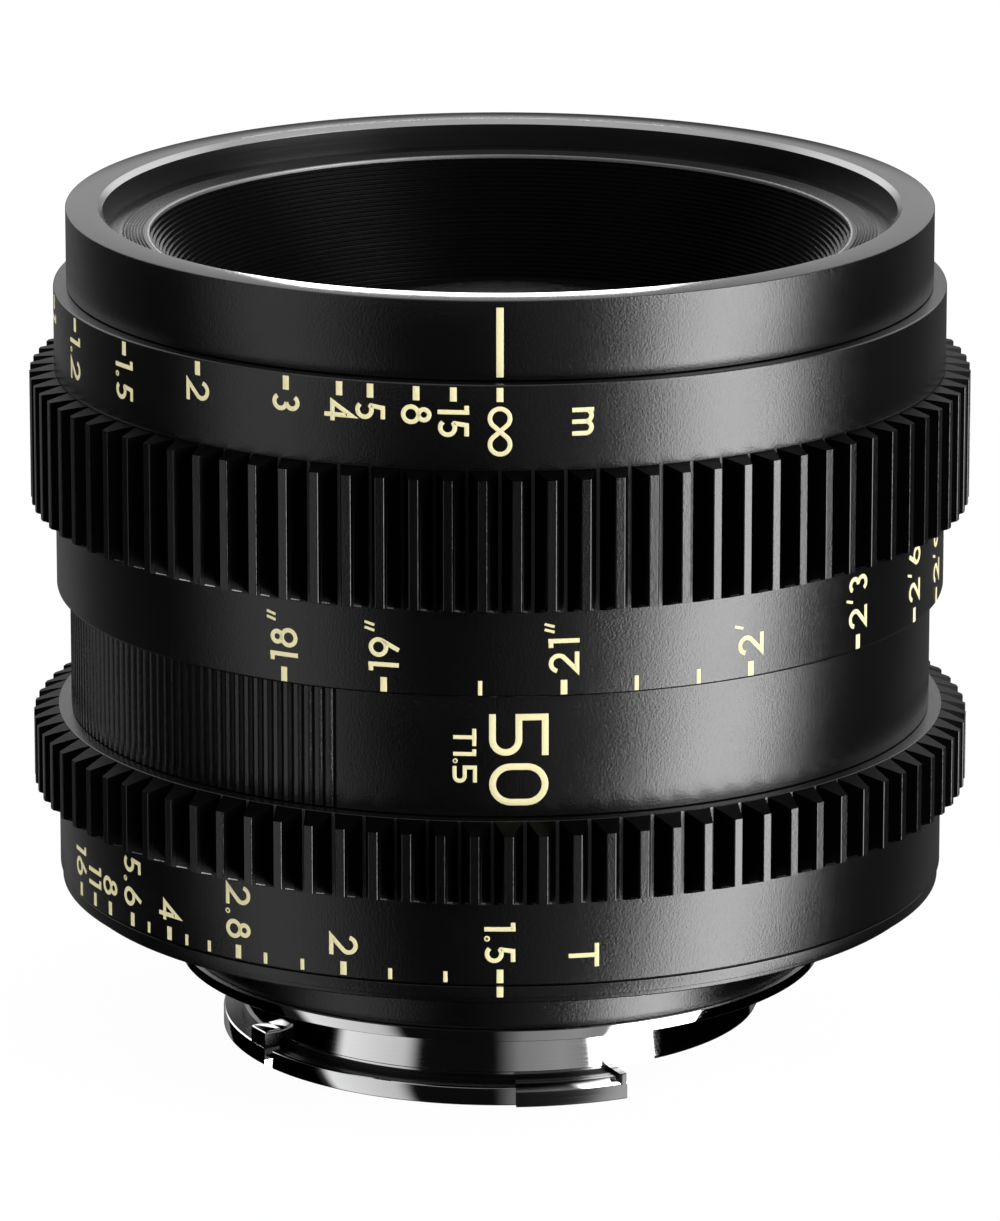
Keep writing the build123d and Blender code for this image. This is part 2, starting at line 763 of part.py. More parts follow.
def make_followers():
    """Pins in the carrier, each with a roller in the tube's key slot and one in the cam slot."""
    pin_low = carrier_radius - follower_seat
    head_low = sleeve_radius + follower_head_gap
    hole_radius = follower_pin_radius + seat_clearance
    pins = []
    key_rollers = []
    cam_rollers = []
    for angle in follower_angles:
        pin = radial_rod(follower_pin_radius, pin_low, head_low, follower_level, angle)
        head_high = head_low + follower_head_height
        pin += radial_rod(follower_head_radius, head_low, head_high, follower_level, angle)
        pins.append(pin)
        hole = radial_rod(hole_radius, pin_low, head_high, follower_level, angle)
        key_low = tube_bore + slide_clearance
        key_high = tube_radius - slide_clearance
        key_rollers.append(radial_rod(roller_radius, key_low, key_high, follower_level, angle) - hole)
        cam_low = sleeve_bore + slide_clearance
        cam_high = sleeve_radius - slide_clearance
        cam_rollers.append(radial_rod(roller_radius, cam_low, cam_high, follower_level, angle) - hole)
    return {"follower_pins": pins, "key_rollers": key_rollers, "cam_rollers": cam_rollers}


def make_iris_base():
    """Fixed iris disc with one pivot post for each blade."""
    outer = iris_bore - seat_clearance
    body = ring(iris_open_radius, outer, iris_base_bottom, front_cell_bottom)
    post_low = blade_stack_bottom
    for index in range(blade_count):
        x, y = on_circle(blade_pivot_radius, blade_angle(index))
        body += rod(blade_post_radius, post_low, iris_base_bottom, x, y)
    return body


def make_iris_plate():
    """Plate that closes the iris from behind, slotted for the lever."""
    outer = iris_bore - seat_clearance
    body = ring(iris_open_radius, outer, iris_plate_bottom, iris_plate_top)
    half = math.degrees(math.asin(lever_width / 2 / lever_inner_radius)) + lever_slot_margin
    slot = ring(
        lever_inner_radius - iris_gap, iris_bore + cut_overrun,
        iris_plate_bottom - cut_overrun, iris_plate_top + cut_overrun,
        lever_first_angle - half, aperture_turn + 2 * half,
    )
    places = screw_places(rear_cell_screw_circle, rear_cell_screw_count)
    holes = screw_holes(iris_plate_bottom - cut_overrun, iris_plate_bottom + screw_bite / 2, places)
    return body - slot - holes


def make_blade(index):
    """Thin curved blade on its own level, with a tail that carries the drive pin."""
    low = blade_stack_bottom + index * blade_pitch
    high = low + blade_thickness
    arc = blade_arc_end - blade_arc_start
    body = ring(blade_inner_radius, blade_outer_radius, low, high, blade_arc_start, arc)
    pivot = blade_pivot_radius
    pin_x = pivot + blade_pin_forward
    body += rod(blade_lobe_radius, low, high, pivot)
    body += rod(blade_tail_width / 2, low, high, pin_x, -blade_pin_back)
    root_width = 2 * blade_lobe_radius
    root_length = pivot - blade_inner_radius - blade_lobe_radius
    root = Pos(pivot - root_length / 2, 0, (low + high) / 2) * Box(root_length, root_width, high - low)
    tail_length = math.hypot(blade_pin_forward, blade_pin_back)
    tail_angle = math.degrees(math.atan2(-blade_pin_back, blade_pin_forward))
    tail = Pos(tail_length / 2, 0, 0) * Box(tail_length, blade_tail_width, high - low)
    tail = Pos(pivot, 0, (low + high) / 2) * Rot(0, 0, tail_angle) * tail
    body = body + root + tail
    body += rod(blade_pin_radius, iris_ring_bottom + iris_gap, low, pin_x, -blade_pin_back)
    body -= rod(blade_post_radius + seat_clearance, low - cut_overrun, high + cut_overrun, pivot)
    return Rot(0, 0, blade_angle(index)) * body


def make_iris_ring():
    """Ring that turns and closes the blades through one curved slot for each."""
    outer = iris_bore - iris_ring_clearance
    body = ring(iris_open_radius, outer, iris_ring_bottom, iris_ring_top)
    half_width = blade_pin_radius + blade_pin_clearance
    centres = []
    for step in range(blade_slot_steps + 1):
        share = step / blade_slot_steps
        turn = math.radians(blade_turn * share)
        x = blade_pivot_radius + blade_pin_forward * math.cos(turn) + blade_pin_back * math.sin(turn)
        y = blade_pin_forward * math.sin(turn) - blade_pin_back * math.cos(turn)
        back = math.radians(-aperture_turn * share)
        centres.append((x * math.cos(back) - y * math.sin(back), x * math.sin(back) + y * math.cos(back)))
    left = []
    right = []
    for step, (x, y) in enumerate(centres):
        before = centres[max(step - 1, 0)]
        after = centres[min(step + 1, blade_slot_steps)]
        run = math.hypot(after[0] - before[0], after[1] - before[1])
        side_x = -(after[1] - before[1]) / run * half_width
        side_y = (after[0] - before[0]) / run * half_width
        left.append((x + side_x, y + side_y))
        right.append((x - side_x, y - side_y))
    low = iris_ring_bottom - cut_overrun
    high = iris_ring_top + cut_overrun
    face = make_face(Polyline(*left, *reversed(right), close=True))
    slot = Pos(0, 0, low) * extrude(face, high - low)
    slot += rod(half_width, low, high, *centres[0])
    slot += rod(half_width, low, high, *centres[-1])
    return body - [Rot(0, 0, blade_angle(index)) * slot for index in range(blade_count)]


def make_iris_lever():
    """Long lever under the iris ring, so the fork keeps hold of it as the cell slides."""
    return block(
        lever_inner_radius, lever_outer_radius, lever_width,
        lever_bottom, iris_ring_bottom, lever_first_angle,
    )


def blade_angle(index):
    """Angle of a blade's pivot about the axis."""
    return 360 * index / blade_count


follower_angles = [follower_first_angle + 360 * index / follower_count for index in range(follower_count)]
fork_screw_points = []
for side in (-1, 1):
    spread = math.degrees(math.atan2(side * fork_screw_spacing / 2, fork_screw_circle))
    fork_screw_points.append(on_circle(fork_screw_circle, lever_first_angle + spread))

front_places = screw_places(front_screw_circle, front_screw_count)
focus_places = screw_places(focus_screw_circle, focus_screw_count)
mount_places = screw_places(mount_screw_circle, mount_screw_count)
rear_cell_places = screw_places(rear_cell_screw_circle, rear_cell_screw_count)
mount_head_level = seat_level + screw_head_height
mount_tip = housing_bottom + mount_screw_length
rear_flange_low = iris_plate_bottom - rear_cell_flange_height
rear_tip = iris_plate_bottom + screw_bite / 2

nodes = {
    "front_barrel": make_front_barrel(),
    "front_baffle": make_front_baffle(),
    "main_tube": make_main_tube(),
    "mid_barrel": make_mid_barrel(),
    "rear_index_ring": ring(tube_radius, index_ring_radius, housing_top, index_ring_top),
    "rear_housing": make_rear_housing(),
    "bayonet_mount": make_bayonet_mount(),
    "mount_screws": [screw(mount_tip, mount_head_level, x, y, downward=True) for x, y in mount_places],
    "front_screws": [screw(tube_flange_bottom, web_top, x, y) for x, y in front_places],
    "focus_ring": make_focus_ring(),
    "focus_cam_sleeve": make_cam_sleeve(),
    "focus_ring_screws": [
        screw(lip_top - screw_bite, sleeve_flange_top, x, y) for x, y in focus_places
    ],
    "aperture_ring": make_aperture_ring(),
    "aperture_fork": make_aperture_fork(),
    "aperture_fork_screws": [
        screw(fork_bottom - screw_bite, fork_top, x, y) for x, y in fork_screw_points
    ],
    "lens_carrier": make_carrier(),
    "front_cell": make_front_cell(),
    "rear_cell": make_rear_cell(),
    "rear_cell_screws": [
        screw(rear_tip, rear_flange_low, x, y, downward=True) for x, y in rear_cell_places
    ],
    "iris_base": make_iris_base(),
    "iris_plate": make_iris_plate(),
    "iris_ring": make_iris_ring(),
    "iris_lever": make_iris_lever(),
}
nodes.update(make_followers())
nodes.update(make_glass())
nodes.update(make_glass_rings())
for index in range(blade_count):
    nodes[f"iris_blade_{index + 1}"] = make_blade(index)

os.makedirs("parts", exist_ok=True)
for name, shape in nodes.items():
    pieces = shape if isinstance(shape, list) else [shape]
    solids = [solid for piece in pieces for solid in piece.solids()]
    export_step(Compound(solids), f"parts/{name}.step")
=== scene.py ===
import json
import math
import bmesh
import bpy
from mathutils import Matrix


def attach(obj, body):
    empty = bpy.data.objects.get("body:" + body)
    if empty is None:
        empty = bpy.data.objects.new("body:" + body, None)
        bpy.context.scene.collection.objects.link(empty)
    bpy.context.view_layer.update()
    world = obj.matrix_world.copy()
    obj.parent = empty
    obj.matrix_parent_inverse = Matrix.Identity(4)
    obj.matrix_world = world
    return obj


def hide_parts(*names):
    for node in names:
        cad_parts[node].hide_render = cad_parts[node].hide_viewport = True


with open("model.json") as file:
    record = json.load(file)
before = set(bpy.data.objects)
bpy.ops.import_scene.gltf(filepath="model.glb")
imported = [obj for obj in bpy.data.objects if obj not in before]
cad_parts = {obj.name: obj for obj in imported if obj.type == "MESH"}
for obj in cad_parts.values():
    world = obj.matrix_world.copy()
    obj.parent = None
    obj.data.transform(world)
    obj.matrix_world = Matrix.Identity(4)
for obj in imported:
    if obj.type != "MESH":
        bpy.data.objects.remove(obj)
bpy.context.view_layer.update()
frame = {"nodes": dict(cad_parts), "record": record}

# All sizes are in millimetres and degrees. Angles round the lens count from the index line at -Y,
# positive to the right as the camera sees it.
mm = 0.001
fine = 0.002 * mm

# Levels above the floor
lug_band = 2.03
seat_level = 6.24
housing_bottom = 7.05
skirt_top = 9.95
housing_floor = 10.40
tube_bottom = 11.20
housing_edge = 12.00
housing_top = 12.64
index_ring_top = 13.54
aperture_bottom = 13.62
aperture_web_bottom = 14.52
aperture_web_top = 18.52
aperture_top = 26.49
mid_bottom = 26.57
mid_top = 35.95
focus_bottom = 36.03
lip_top = 38.00
focus_top = 59.90
front_bottom = 59.98
tube_top = 57.40
web_top = 61.40
ledge_bottom = 62.90
ledge_level = 63.83
rim_level = 66.00
baffle_bottom = 54.33

# Radii
barrel_radius = 33.47
barrel_inner_radius = 31.50
ring_radius = 34.48
ring_inner_radius = 31.60
focus_lip_radius = 29.20
index_ring_radius = 34.30
tube_radius = 26.00
tube_bore = 24.20
sleeve_bore = 26.05
skirt_radius = 24.70
mount_flange_radius = 25.17
neck_radius = 20.40
mount_bore = 18.40
lug_core_radius = 18.90
lug_radius = 21.80
stop_lug_radius = 22.30
throat_radius = 18.60
filter_radius = 30.60
rim_inner_radius = 30.98
ledge_pocket_radius = 30.20
ledge_seat_radius = 29.80
tube_flange_radius = 30.20
hub_radius = 27.30
mouth_radius = 27.00
baffle_throat_radius = 19.85
gear_tip_radius = 36.40


def active(name):
    """The object just made, under its own name."""
    piece = bpy.context.object
    piece.name = name
    piece.data.name = name
    return piece


def edit(piece):
    """Opens one piece in edit mode with nothing selected."""
    bpy.ops.object.select_all(action="DESELECT")
    piece.select_set(True)
    bpy.context.view_layer.objects.active = piece
    bpy.ops.object.mode_set(mode="EDIT")
    bpy.ops.mesh.select_mode(type="VERT")
    bpy.ops.mesh.select_all(action="DESELECT")


def close(piece, angle=32):
    """Leaves edit mode with merged points, faces outward and soft shading under the angle."""
    bpy.ops.mesh.select_all(action="SELECT")
    bpy.ops.mesh.remove_doubles(threshold=fine / 2)
    bpy.ops.mesh.normals_make_consistent(inside=False)
    bpy.ops.object.mode_set(mode="OBJECT")
    bpy.ops.object.shade_smooth_by_angle(angle=math.radians(angle))


def pick_points(piece, wanted):
    """Selects the points of the open mesh for which wanted(place) holds."""
    mesh = bmesh.from_edit_mesh(piece.data)
    for point in mesh.verts:
        if wanted(point.co):
            point.select = True
    mesh.select_flush_mode()
    bmesh.update_edit_mesh(piece.data)


def pick_edges(piece, wanted):
    """Selects the edges of the open mesh for which wanted(place, place) holds."""
    bpy.ops.mesh.select_mode(type="EDGE")
    mesh = bmesh.from_edit_mesh(piece.data)
    for line in mesh.edges:
        if wanted(line.verts[0].co, line.verts[1].co):
            line.select = True
    bmesh.update_edit_mesh(piece.data)


def turned(name, outline, steps=288, start=0, arc=360):
    """Turned piece. Its outline is drawn point by point, its corners are rounded by their third
    number, and it is spun about the optical axis from start through arc."""
    bpy.ops.object.select_all(action="DESELECT")
    first = outline[0]
    bpy.ops.mesh.primitive_plane_add(size=mm, location=(first[0] * mm, 0, first[1] * mm))
    piece = active(name)
    bpy.ops.object.transform_apply(location=True, rotation=True, scale=True)
    bpy.ops.object.mode_set(mode="EDIT")
    bpy.ops.mesh.select_mode(type="VERT")
    bpy.ops.mesh.select_all(action="SELECT")
    bpy.ops.mesh.merge(type="CENTER")
    here = first
    for point in outline[1:] + [first]:
        step = ((point[0] - here[0]) * mm, 0, (point[1] - here[1]) * mm)
        bpy.ops.mesh.extrude_vertices_move(TRANSFORM_OT_translate={"value": step})
        here = point
    bpy.ops.mesh.select_all(action="SELECT")
    bpy.ops.mesh.remove_doubles(threshold=fine / 2)
    for size in sorted({point[2] for point in outline if len(point) == 3}):
        corners = [(point[0] * mm, point[1] * mm) for point in outline if point[2:] == (size,)]
        bpy.ops.mesh.select_all(action="DESELECT")
        pick_points(piece, lambda place: any(
            abs(place.x - radius) < fine and abs(place.z - level) < fine for radius, level in corners))
        bpy.ops.mesh.bevel(offset=size * mm, segments=3, affect="VERTICES")
    bpy.ops.mesh.select_all(action="SELECT")
    bpy.ops.transform.rotate(value=-math.radians(start - 90), orient_axis="Z", center_override=(0, 0, 0))
    bpy.ops.mesh.spin(steps=steps, angle=-math.radians(arc), center=(0, 0, 0), axis=(0, 0, 1))
    bpy.ops.mesh.select_all(action="SELECT")
    bpy.ops.mesh.remove_doubles(threshold=fine / 2)
    if arc < 360:
        bpy.ops.mesh.fill_holes(sides=0)
    close(piece)
    return piece


def block(name, low, high):
    """Box between two corners."""
    bpy.ops.object.select_all(action="DESELECT")
    middle = [(a + b) / 2 * mm for a, b in zip(low, high)]
    size = [(b - a) * mm for a, b in zip(low, high)]
    bpy.ops.mesh.primitive_cube_add(size=1, location=middle, scale=size)
    piece = active(name)
    bpy.ops.object.transform_apply(location=True, rotation=True, scale=True)
    return piece


def swing(piece, angle):
    """Turns a piece, modelled along +X, to its angle from the index line."""
    piece.data.transform(Matrix.Rotation(math.radians(angle - 90), 4, "Z"))


def join(pieces, name):
    """Makes several pieces one."""
    bpy.ops.object.select_all(action="DESELECT")
    for piece in pieces:
        piece.select_set(True)
    bpy.context.view_layer.objects.active = pieces[0]
    bpy.ops.object.join()
    return active(name)


def cut(piece, tool):
    """Cuts one piece out of another."""
    bpy.ops.object.select_all(action="DESELECT")
    piece.select_set(True)
    bpy.context.view_layer.objects.active = piece
    change = piece.modifiers.new("cut", "BOOLEAN")
    change.operation = "DIFFERENCE"
    change.solver = "EXACT"
    change.object = tool
    bpy.ops.object.modifier_apply(modifier=change.name)
    bpy.data.objects.remove(tool)


def finish(piece, body, slot, material, *nodes):
    """Gives a piece its body, its finish and the solids that it stands for."""
    piece.data.materials.clear()
    piece.data.materials.append(material)
    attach(piece, body)
    if nodes:
        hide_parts(*nodes)
    return piece


def accent(piece, material, wanted):
    """Gives some faces of a finished piece another finish, by radius and level in millimetres."""
    piece.data.materials.append(material)
    number = len(piece.data.materials) - 1
    for face in piece.data.polygons:
        if wanted(math.hypot(face.center.x, face.center.y) / mm, face.center.z / mm):
            face.material_index = number


# Finishes

def group(name, inputs, outputs):
    """An empty shader node group with its named sockets."""
    made = bpy.data.node_groups.new(name, "ShaderNodeTree")
    for label, kind, value in inputs:
        socket = made.interface.new_socket(label, in_out="INPUT", socket_type=kind)
        if value is not None:
            socket.default_value = value
    for label, kind in outputs:
        made.interface.new_socket(label, in_out="OUTPUT", socket_type=kind)
    return made, made.nodes.new("NodeGroupInput"), made.nodes.new("NodeGroupOutput")


def make_blast_grain():
    """Fine bead-blasted grain: a height and a shade that change over the surface."""
    made, given, result = group(
        "blast_grain",
        [("Vector", "NodeSocketVector", None), ("Grain", "NodeSocketFloat", 6000.0)],
        [("Height", "NodeSocketFloat"), ("Shade", "NodeSocketFloat")])
    nodes, links = made.nodes, made.links
    grain = nodes.new("ShaderNodeTexNoise")
    grain.inputs["Detail"].default_value = 3.0
    grain.inputs["Roughness"].default_value = 0.62
    links.new(given.outputs["Vector"], grain.inputs["Vector"])
    links.new(given.outputs["Grain"], grain.inputs["Scale"])
    cloud = nodes.new("ShaderNodeTexNoise")
    cloud.inputs["Scale"].default_value = 260.0
    cloud.inputs["Detail"].default_value = 4.0
    links.new(given.outputs["Vector"], cloud.inputs["Vector"])
    both = nodes.new("ShaderNodeMath")
    both.operation = "MULTIPLY_ADD"
    both.inputs[1].default_value = 0.65
    links.new(grain.outputs["Fac"], both.inputs[0])
    clouded = nodes.new("ShaderNodeMath")
    clouded.operation = "MULTIPLY"
    clouded.inputs[1].default_value = 0.35
    links.new(cloud.outputs["Fac"], clouded.inputs[0])
    links.new(clouded.outputs[0], both.inputs[2])
    links.new(grain.outputs["Fac"], result.inputs["Height"])
    links.new(both.outputs[0], result.inputs["Shade"])
    return made


def make_turning():
    """Fine rings of a turned face, by distance from the axis and height."""
    made, given, result = group(
        "turning_marks",
        [("Vector", "NodeSocketVector", None), ("Pitch", "NodeSocketFloat", 9000.0)],
        [("Height", "NodeSocketFloat")])
    nodes, links = made.nodes, made.links
    apart = nodes.new("ShaderNodeSeparateXYZ")
    links.new(given.outputs["Vector"], apart.inputs[0])
    flat = nodes.new("ShaderNodeCombineXYZ")
    links.new(apart.outputs["X"], flat.inputs["X"])
    links.new(apart.outputs["Y"], flat.inputs["Y"])
    distance = nodes.new("ShaderNodeVectorMath")
    distance.operation = "LENGTH"
    links.new(flat.outputs[0], distance.inputs[0])
    rings = nodes.new("ShaderNodeCombineXYZ")
    links.new(distance.outputs["Value"], rings.inputs["X"])
    links.new(apart.outputs["Z"], rings.inputs["Y"])
    marks = nodes.new("ShaderNodeTexNoise")
    marks.inputs["Detail"].default_value = 2.0
    links.new(rings.outputs[0], marks.inputs["Vector"])
    links.new(given.outputs["Pitch"], marks.inputs["Scale"])
    links.new(marks.outputs["Fac"], result.inputs["Height"])
    return made


blast_grain = make_blast_grain()
turning_marks = make_turning()


def finish_of(name, dark, light, rough_low, rough_high, relief, grain, **sockets):
    """Material with a grain: its colour, its roughness and its relief follow the grain, and what is
    the same all over is set on the shader."""
    material = bpy.data.materials.new(name)
    material.use_nodes = True
    nodes, links = material.node_tree.nodes, material.node_tree.links
    shader = nodes["Principled BSDF"]
    for label, value in sockets.items():
        shader.inputs[label.replace("_", " ")].default_value = value
    place = nodes.new("ShaderNodeTexCoord")
    look = nodes.new("ShaderNodeGroup")
    look.node_tree = grain
    links.new(place.outputs["Object"], look.inputs["Vector"])
    shade = look.outputs.get("Shade") or look.outputs["Height"]
    colour = nodes.new("ShaderNodeMix")
    colour.data_type = "RGBA"
    colour.inputs["A"].default_value = (*dark, 1)
    colour.inputs["B"].default_value = (*light, 1)
    links.new(shade, colour.inputs["Factor"])
    links.new(colour.outputs["Result"], shader.inputs["Base Color"])
    rough = nodes.new("ShaderNodeMapRange")
    rough.inputs["From Min"].default_value = 0.3
    rough.inputs["From Max"].default_value = 0.7
    rough.inputs["To Min"].default_value = rough_low
    rough.inputs["To Max"].default_value = rough_high
    links.new(shade, rough.inputs["Value"])
    links.new(rough.outputs["Result"], shader.inputs["Roughness"])
    bump = nodes.new("ShaderNodeBump")
    bump.inputs["Strength"].default_value = relief
    bump.inputs["Distance"].default_value = 0.025 * mm
    links.new(look.outputs["Height"], bump.inputs["Height"])
    links.new(bump.outputs["Normal"], shader.inputs["Normal"])
    material.diffuse_color = (*light, 1)
    return material


black_anodised = finish_of(
    "black_anodised", (0.0008, 0.0008, 0.0008), (0.0018, 0.0018, 0.0018), 0.19, 0.27, 1.0,
    blast_grain, Specular_IOR_Level=0.6)
baffle_black = finish_of(
    "baffle_black", (0.001, 0.001, 0.001), (0.002, 0.002, 0.002), 0.36, 0.48, 0.2,
    turning_marks, Specular_IOR_Level=0.04)
# Painted shade: a darker, less glossy black for the tooth flanks and end slopes, standing in for the shade
# between the teeth.
gear_gap_shade = finish_of(
    "gear_gap_shade", (0.0004, 0.0004, 0.0004), (0.0008, 0.0008, 0.0008), 0.30, 0.40, 0.5,
    blast_grain, Specular_IOR_Level=0.05)
# The rim's top face: a glossier black, with a lighter colour painted in as light on that lit face.
rim_gloss_and_painted_light = finish_of(
    "rim_gloss_and_painted_light", (0.005, 0.005, 0.005), (0.010, 0.010, 0.010), 0.09, 0.12, 0.08,
    blast_grain, Specular_IOR_Level=0.6)
rim_edge = finish_of(
    "rim_edge", (0.36, 0.36, 0.36), (0.44, 0.44, 0.44), 0.20, 0.26, 0.05,
    turning_marks, Metallic=1.0)
ledge_black = finish_of(
    "ledge_black", (0.003, 0.003, 0.003), (0.006, 0.006, 0.006), 0.28, 0.38, 0.3,
    turning_marks, Specular_IOR_Level=0.2)
silver_lip = finish_of(
    "silver_lip", (0.17, 0.17, 0.17), (0.26, 0.26, 0.26), 0.45, 0.6, 0.2,
    turning_marks, Metallic=1.0)
chrome = finish_of(
    "chrome", (0.80, 0.80, 0.81), (0.88, 0.88, 0.89), 0.03, 0.09, 0.03,
    turning_marks, Metallic=1.0)
steel = finish_of(
    "steel", (0.50, 0.50, 0.49), (0.64, 0.64, 0.63), 0.22, 0.36, 0.2,
    turning_marks, Metallic=1.0)
brass = finish_of(
    "brass", (0.68, 0.50, 0.22), (0.80, 0.62, 0.30), 0.22, 0.36, 0.2,
    turning_marks, Metallic=1.0)
blade_steel = finish_of(
    "blade_steel", (0.012, 0.012, 0.013), (0.028, 0.028, 0.03), 0.42, 0.58, 0.15,
    blast_grain, Specular_IOR_Level=0.4)
gold_paint = finish_of(
    "gold_paint", (0.545, 0.495, 0.268), (0.68, 0.63, 0.375), 0.40, 0.55, 0.12,
    blast_grain, Specular_IOR_Level=0.35)
coated_glass = finish_of(
    "coated_glass", (0.55, 0.56, 0.57), (0.60, 0.61, 0.62), 0.0, 0.01, 0.0,
    blast_grain, IOR=1.5, Transmission_Weight=1.0)
# Painted shade: a darker chrome for the mount faces that show dark, standing in for their shade.
chrome_painted_shade = finish_of(
    "chrome_painted_shade", (0.03, 0.03, 0.03), (0.05, 0.05, 0.05), 0.22, 0.30, 0.05,
    turning_marks, Metallic=1.0)

slot_finish = {
    "black_anodised": black_anodised, "baffle_black": baffle_black, "chrome": chrome, "steel": steel,
    "brass": brass, "blade_steel": blade_steel, "coated_glass": coated_glass,
}
for subpart in frame["record"]["subparts"]:
    carried = frame["nodes"][subpart["node"]]
    carried.data.materials.clear()
    carried.data.materials.append(slot_finish[subpart["material_slot"]])


# Front barrel: a bevelled rim, the plain filter bore, the seat of the baffle and a hub

rim_bevel_level = rim_level - 0.40
front_outline = [
    (barrel_radius, front_bottom, 0.06), (barrel_radius, rim_level, 0.10),
    (rim_inner_radius, rim_level), (filter_radius, rim_bevel_level, 0.03),
    (filter_radius, ledge_level), (ledge_pocket_radius, ledge_level), (ledge_pocket_radius, ledge_bottom),
    (ledge_seat_radius, ledge_bottom), (ledge_seat_radius, web_top), (hub_radius, web_top),
    (hub_radius, tube_top), (tube_flange_radius, tube_top), (tube_flange_radius, front_bottom),
]
front_barrel = turned("front_ring", front_outline, 360)
finish(front_barrel, "barrel", "black_anodised", black_anodised, "front_barrel")
# Painted light: the rim's top face gets the lighter, glossier black.
accent(front_barrel, rim_gloss_and_painted_light, lambda out, level: level > rim_level - 0.02)
accent(front_barrel, rim_edge,
       lambda out, level: out < rim_inner_radius and level > rim_bevel_level + 0.01)
accent(front_barrel, ledge_black,
       lambda out, level: abs(out - filter_radius) < 0.08 and level < rim_bevel_level - 0.02)


# Baffle: a ledge with fine grooves, and a cone with a sharp rib at each step

groove_count = 7
groove_pitch = 0.24
groove_depth = 0.10
mouth_edge = 27.22
mouth_level = ledge_level - 0.25
rib_count = 30
outer = ledge_pocket_radius - 0.02
baffle_outline = [(outer, ledge_level)]
for groove in range(groove_count):
    radius = mouth_edge + 0.18 + (groove_count - groove) * groove_pitch
    baffle_outline += [
        (radius, ledge_level), (radius - 0.10, ledge_level - groove_depth), (radius - 0.18, ledge_level),
    ]
baffle_outline += [
    (mouth_edge, ledge_level), (mouth_edge, mouth_level), (mouth_radius + 0.06, mouth_level),
]
step_in = (mouth_radius - baffle_throat_radius) / rib_count
step_down = (mouth_level - baffle_bottom) / rib_count
for rib in range(rib_count):
    radius = mouth_radius - rib * step_in
    level = mouth_level - rib * step_down
    baffle_outline += [
        (radius + 0.12, level - 0.06), (radius + 0.10, level - 0.22),
        (radius - step_in + 0.02, level - step_down + 0.06), (radius - step_in, level - step_down),
    ]
baffle_outline += [
    (baffle_throat_radius + 1.0, baffle_bottom), (mouth_radius + 1.0, ledge_bottom), (outer, ledge_bottom),
]
baffle = turned("recess_baffle", baffle_outline, 256)
finish(baffle, "barrel", "baffle_black", baffle_black, "front_baffle")
accent(baffle, ledge_black, lambda out, level: level > ledge_level - 0.15 and out > mouth_edge)

lip = turned("recess_lip", [
    (mouth_edge + 0.02, ledge_level - 0.24), (mouth_edge + 0.02, ledge_level + 0.02, 0.02),
    (mouth_radius + 0.03, ledge_level + 0.02, 0.03), (mouth_radius, ledge_level - 0.12),
    (mouth_radius, ledge_level - 0.24),
], 256)
finish(lip, "barrel", "steel", silver_lip)


# Front glass: a domed element with a ground edge

glass_radius = 18.30
glass_top = 58.70
glass_bottom = 52.20
front_curve = 42.0
back_curve = 120.0
front_steps = 12
back_steps = 8


def sagitta(curve, radius):
    """How far a spherical face falls away at a radius."""
    return curve - math.sqrt(curve ** 2 - radius ** 2)


dome = []
for step in range(front_steps + 1):
    radius = glass_radius * (front_steps - step) / front_steps
    dome.append((radius, glass_top - sagitta(front_curve, radius)))
back = []
for step in range(back_steps + 1):
    radius = glass_radius * step / back_steps
    back.append((radius, glass_bottom + sagitta(back_curve, radius)))
front_glass = turned("front_glass", dome + back, 160)
finish(front_glass, "lens_cell", "coated_glass", coated_glass, "lens_element_1")


# Follow gear: one tooth is shaped and copied round the ring

gear_teeth = 89
foot_half = 1.14
crest_half = 0.34
flank_shape = ((34.40, 1.04), (35.20, 0.772), (36.00, 0.484))
upper_chamfer = 0.24
lower_chamfer = 0.22
foot_zone = 0.70


def make_tooth(top, bottom, slope):
    """One gear tooth along +X: curved flanks, a sloped and chamfered end each, rounded edges."""
    foot = ring_radius - 0.15
    tooth = block("tooth", (foot, -foot_half, bottom), (gear_tip_radius, foot_half, top))
    edit(tooth)
    for radius, half in flank_shape:
        bpy.ops.mesh.select_all(action="SELECT")
        bpy.ops.mesh.bisect(plane_co=(radius * mm, 0, 0), plane_no=(1, 0, 0))
    for radius, half in flank_shape + ((gear_tip_radius, crest_half),):
        bpy.ops.mesh.select_all(action="DESELECT")
        pick_points(tooth, lambda place: abs(place.x - radius * mm) < fine)
        bpy.ops.transform.resize(value=(1, half / foot_half, 1), center_override=(radius * mm, 0, 0))
    slopes = (
        ((ring_radius, top), (slope, gear_tip_radius - ring_radius - upper_chamfer)),
        ((gear_tip_radius - upper_chamfer, top - slope), (0.38, upper_chamfer)),
        ((ring_radius + 0.05, bottom), (0.35, -1.92)),
        ((gear_tip_radius - lower_chamfer, bottom + 0.40), (0.42, -0.20)),
    )
    for (radius, level), (out, up) in slopes:
        bpy.ops.mesh.select_all(action="SELECT")
        bpy.ops.mesh.bisect(plane_co=(radius * mm, 0, level * mm), plane_no=(out, 0, up),
                            use_fill=True, clear_outer=True)
    bpy.ops.mesh.select_all(action="DESELECT")
    pick_edges(tooth, lambda a, b: min(a.x, b.x) > (gear_tip_radius - 0.25) * mm and a.y * b.y > 0)
    bpy.ops.mesh.bevel(offset=0.05 * mm, segments=2, affect="EDGES")
    bpy.ops.mesh.select_all(action="DESELECT")
    pick_edges(tooth, lambda a, b: max(a.z, b.z) < (bottom + foot_zone) * mm and a.y * b.y > 0
               and ring_radius - 0.1 < min(a.x, b.x) / mm and max(a.x, b.x) / mm < gear_tip_radius - 0.2)
    bpy.ops.mesh.bevel(offset=0.15 * mm, segments=2, affect="EDGES")
    close(tooth, 18)
    return tooth


def in_gap(out):
    """Whether a face that far out lies on a flank or an end slope of the teeth, where shade is painted."""
    return ring_radius + 0.05 < out < gear_tip_radius - 0.15


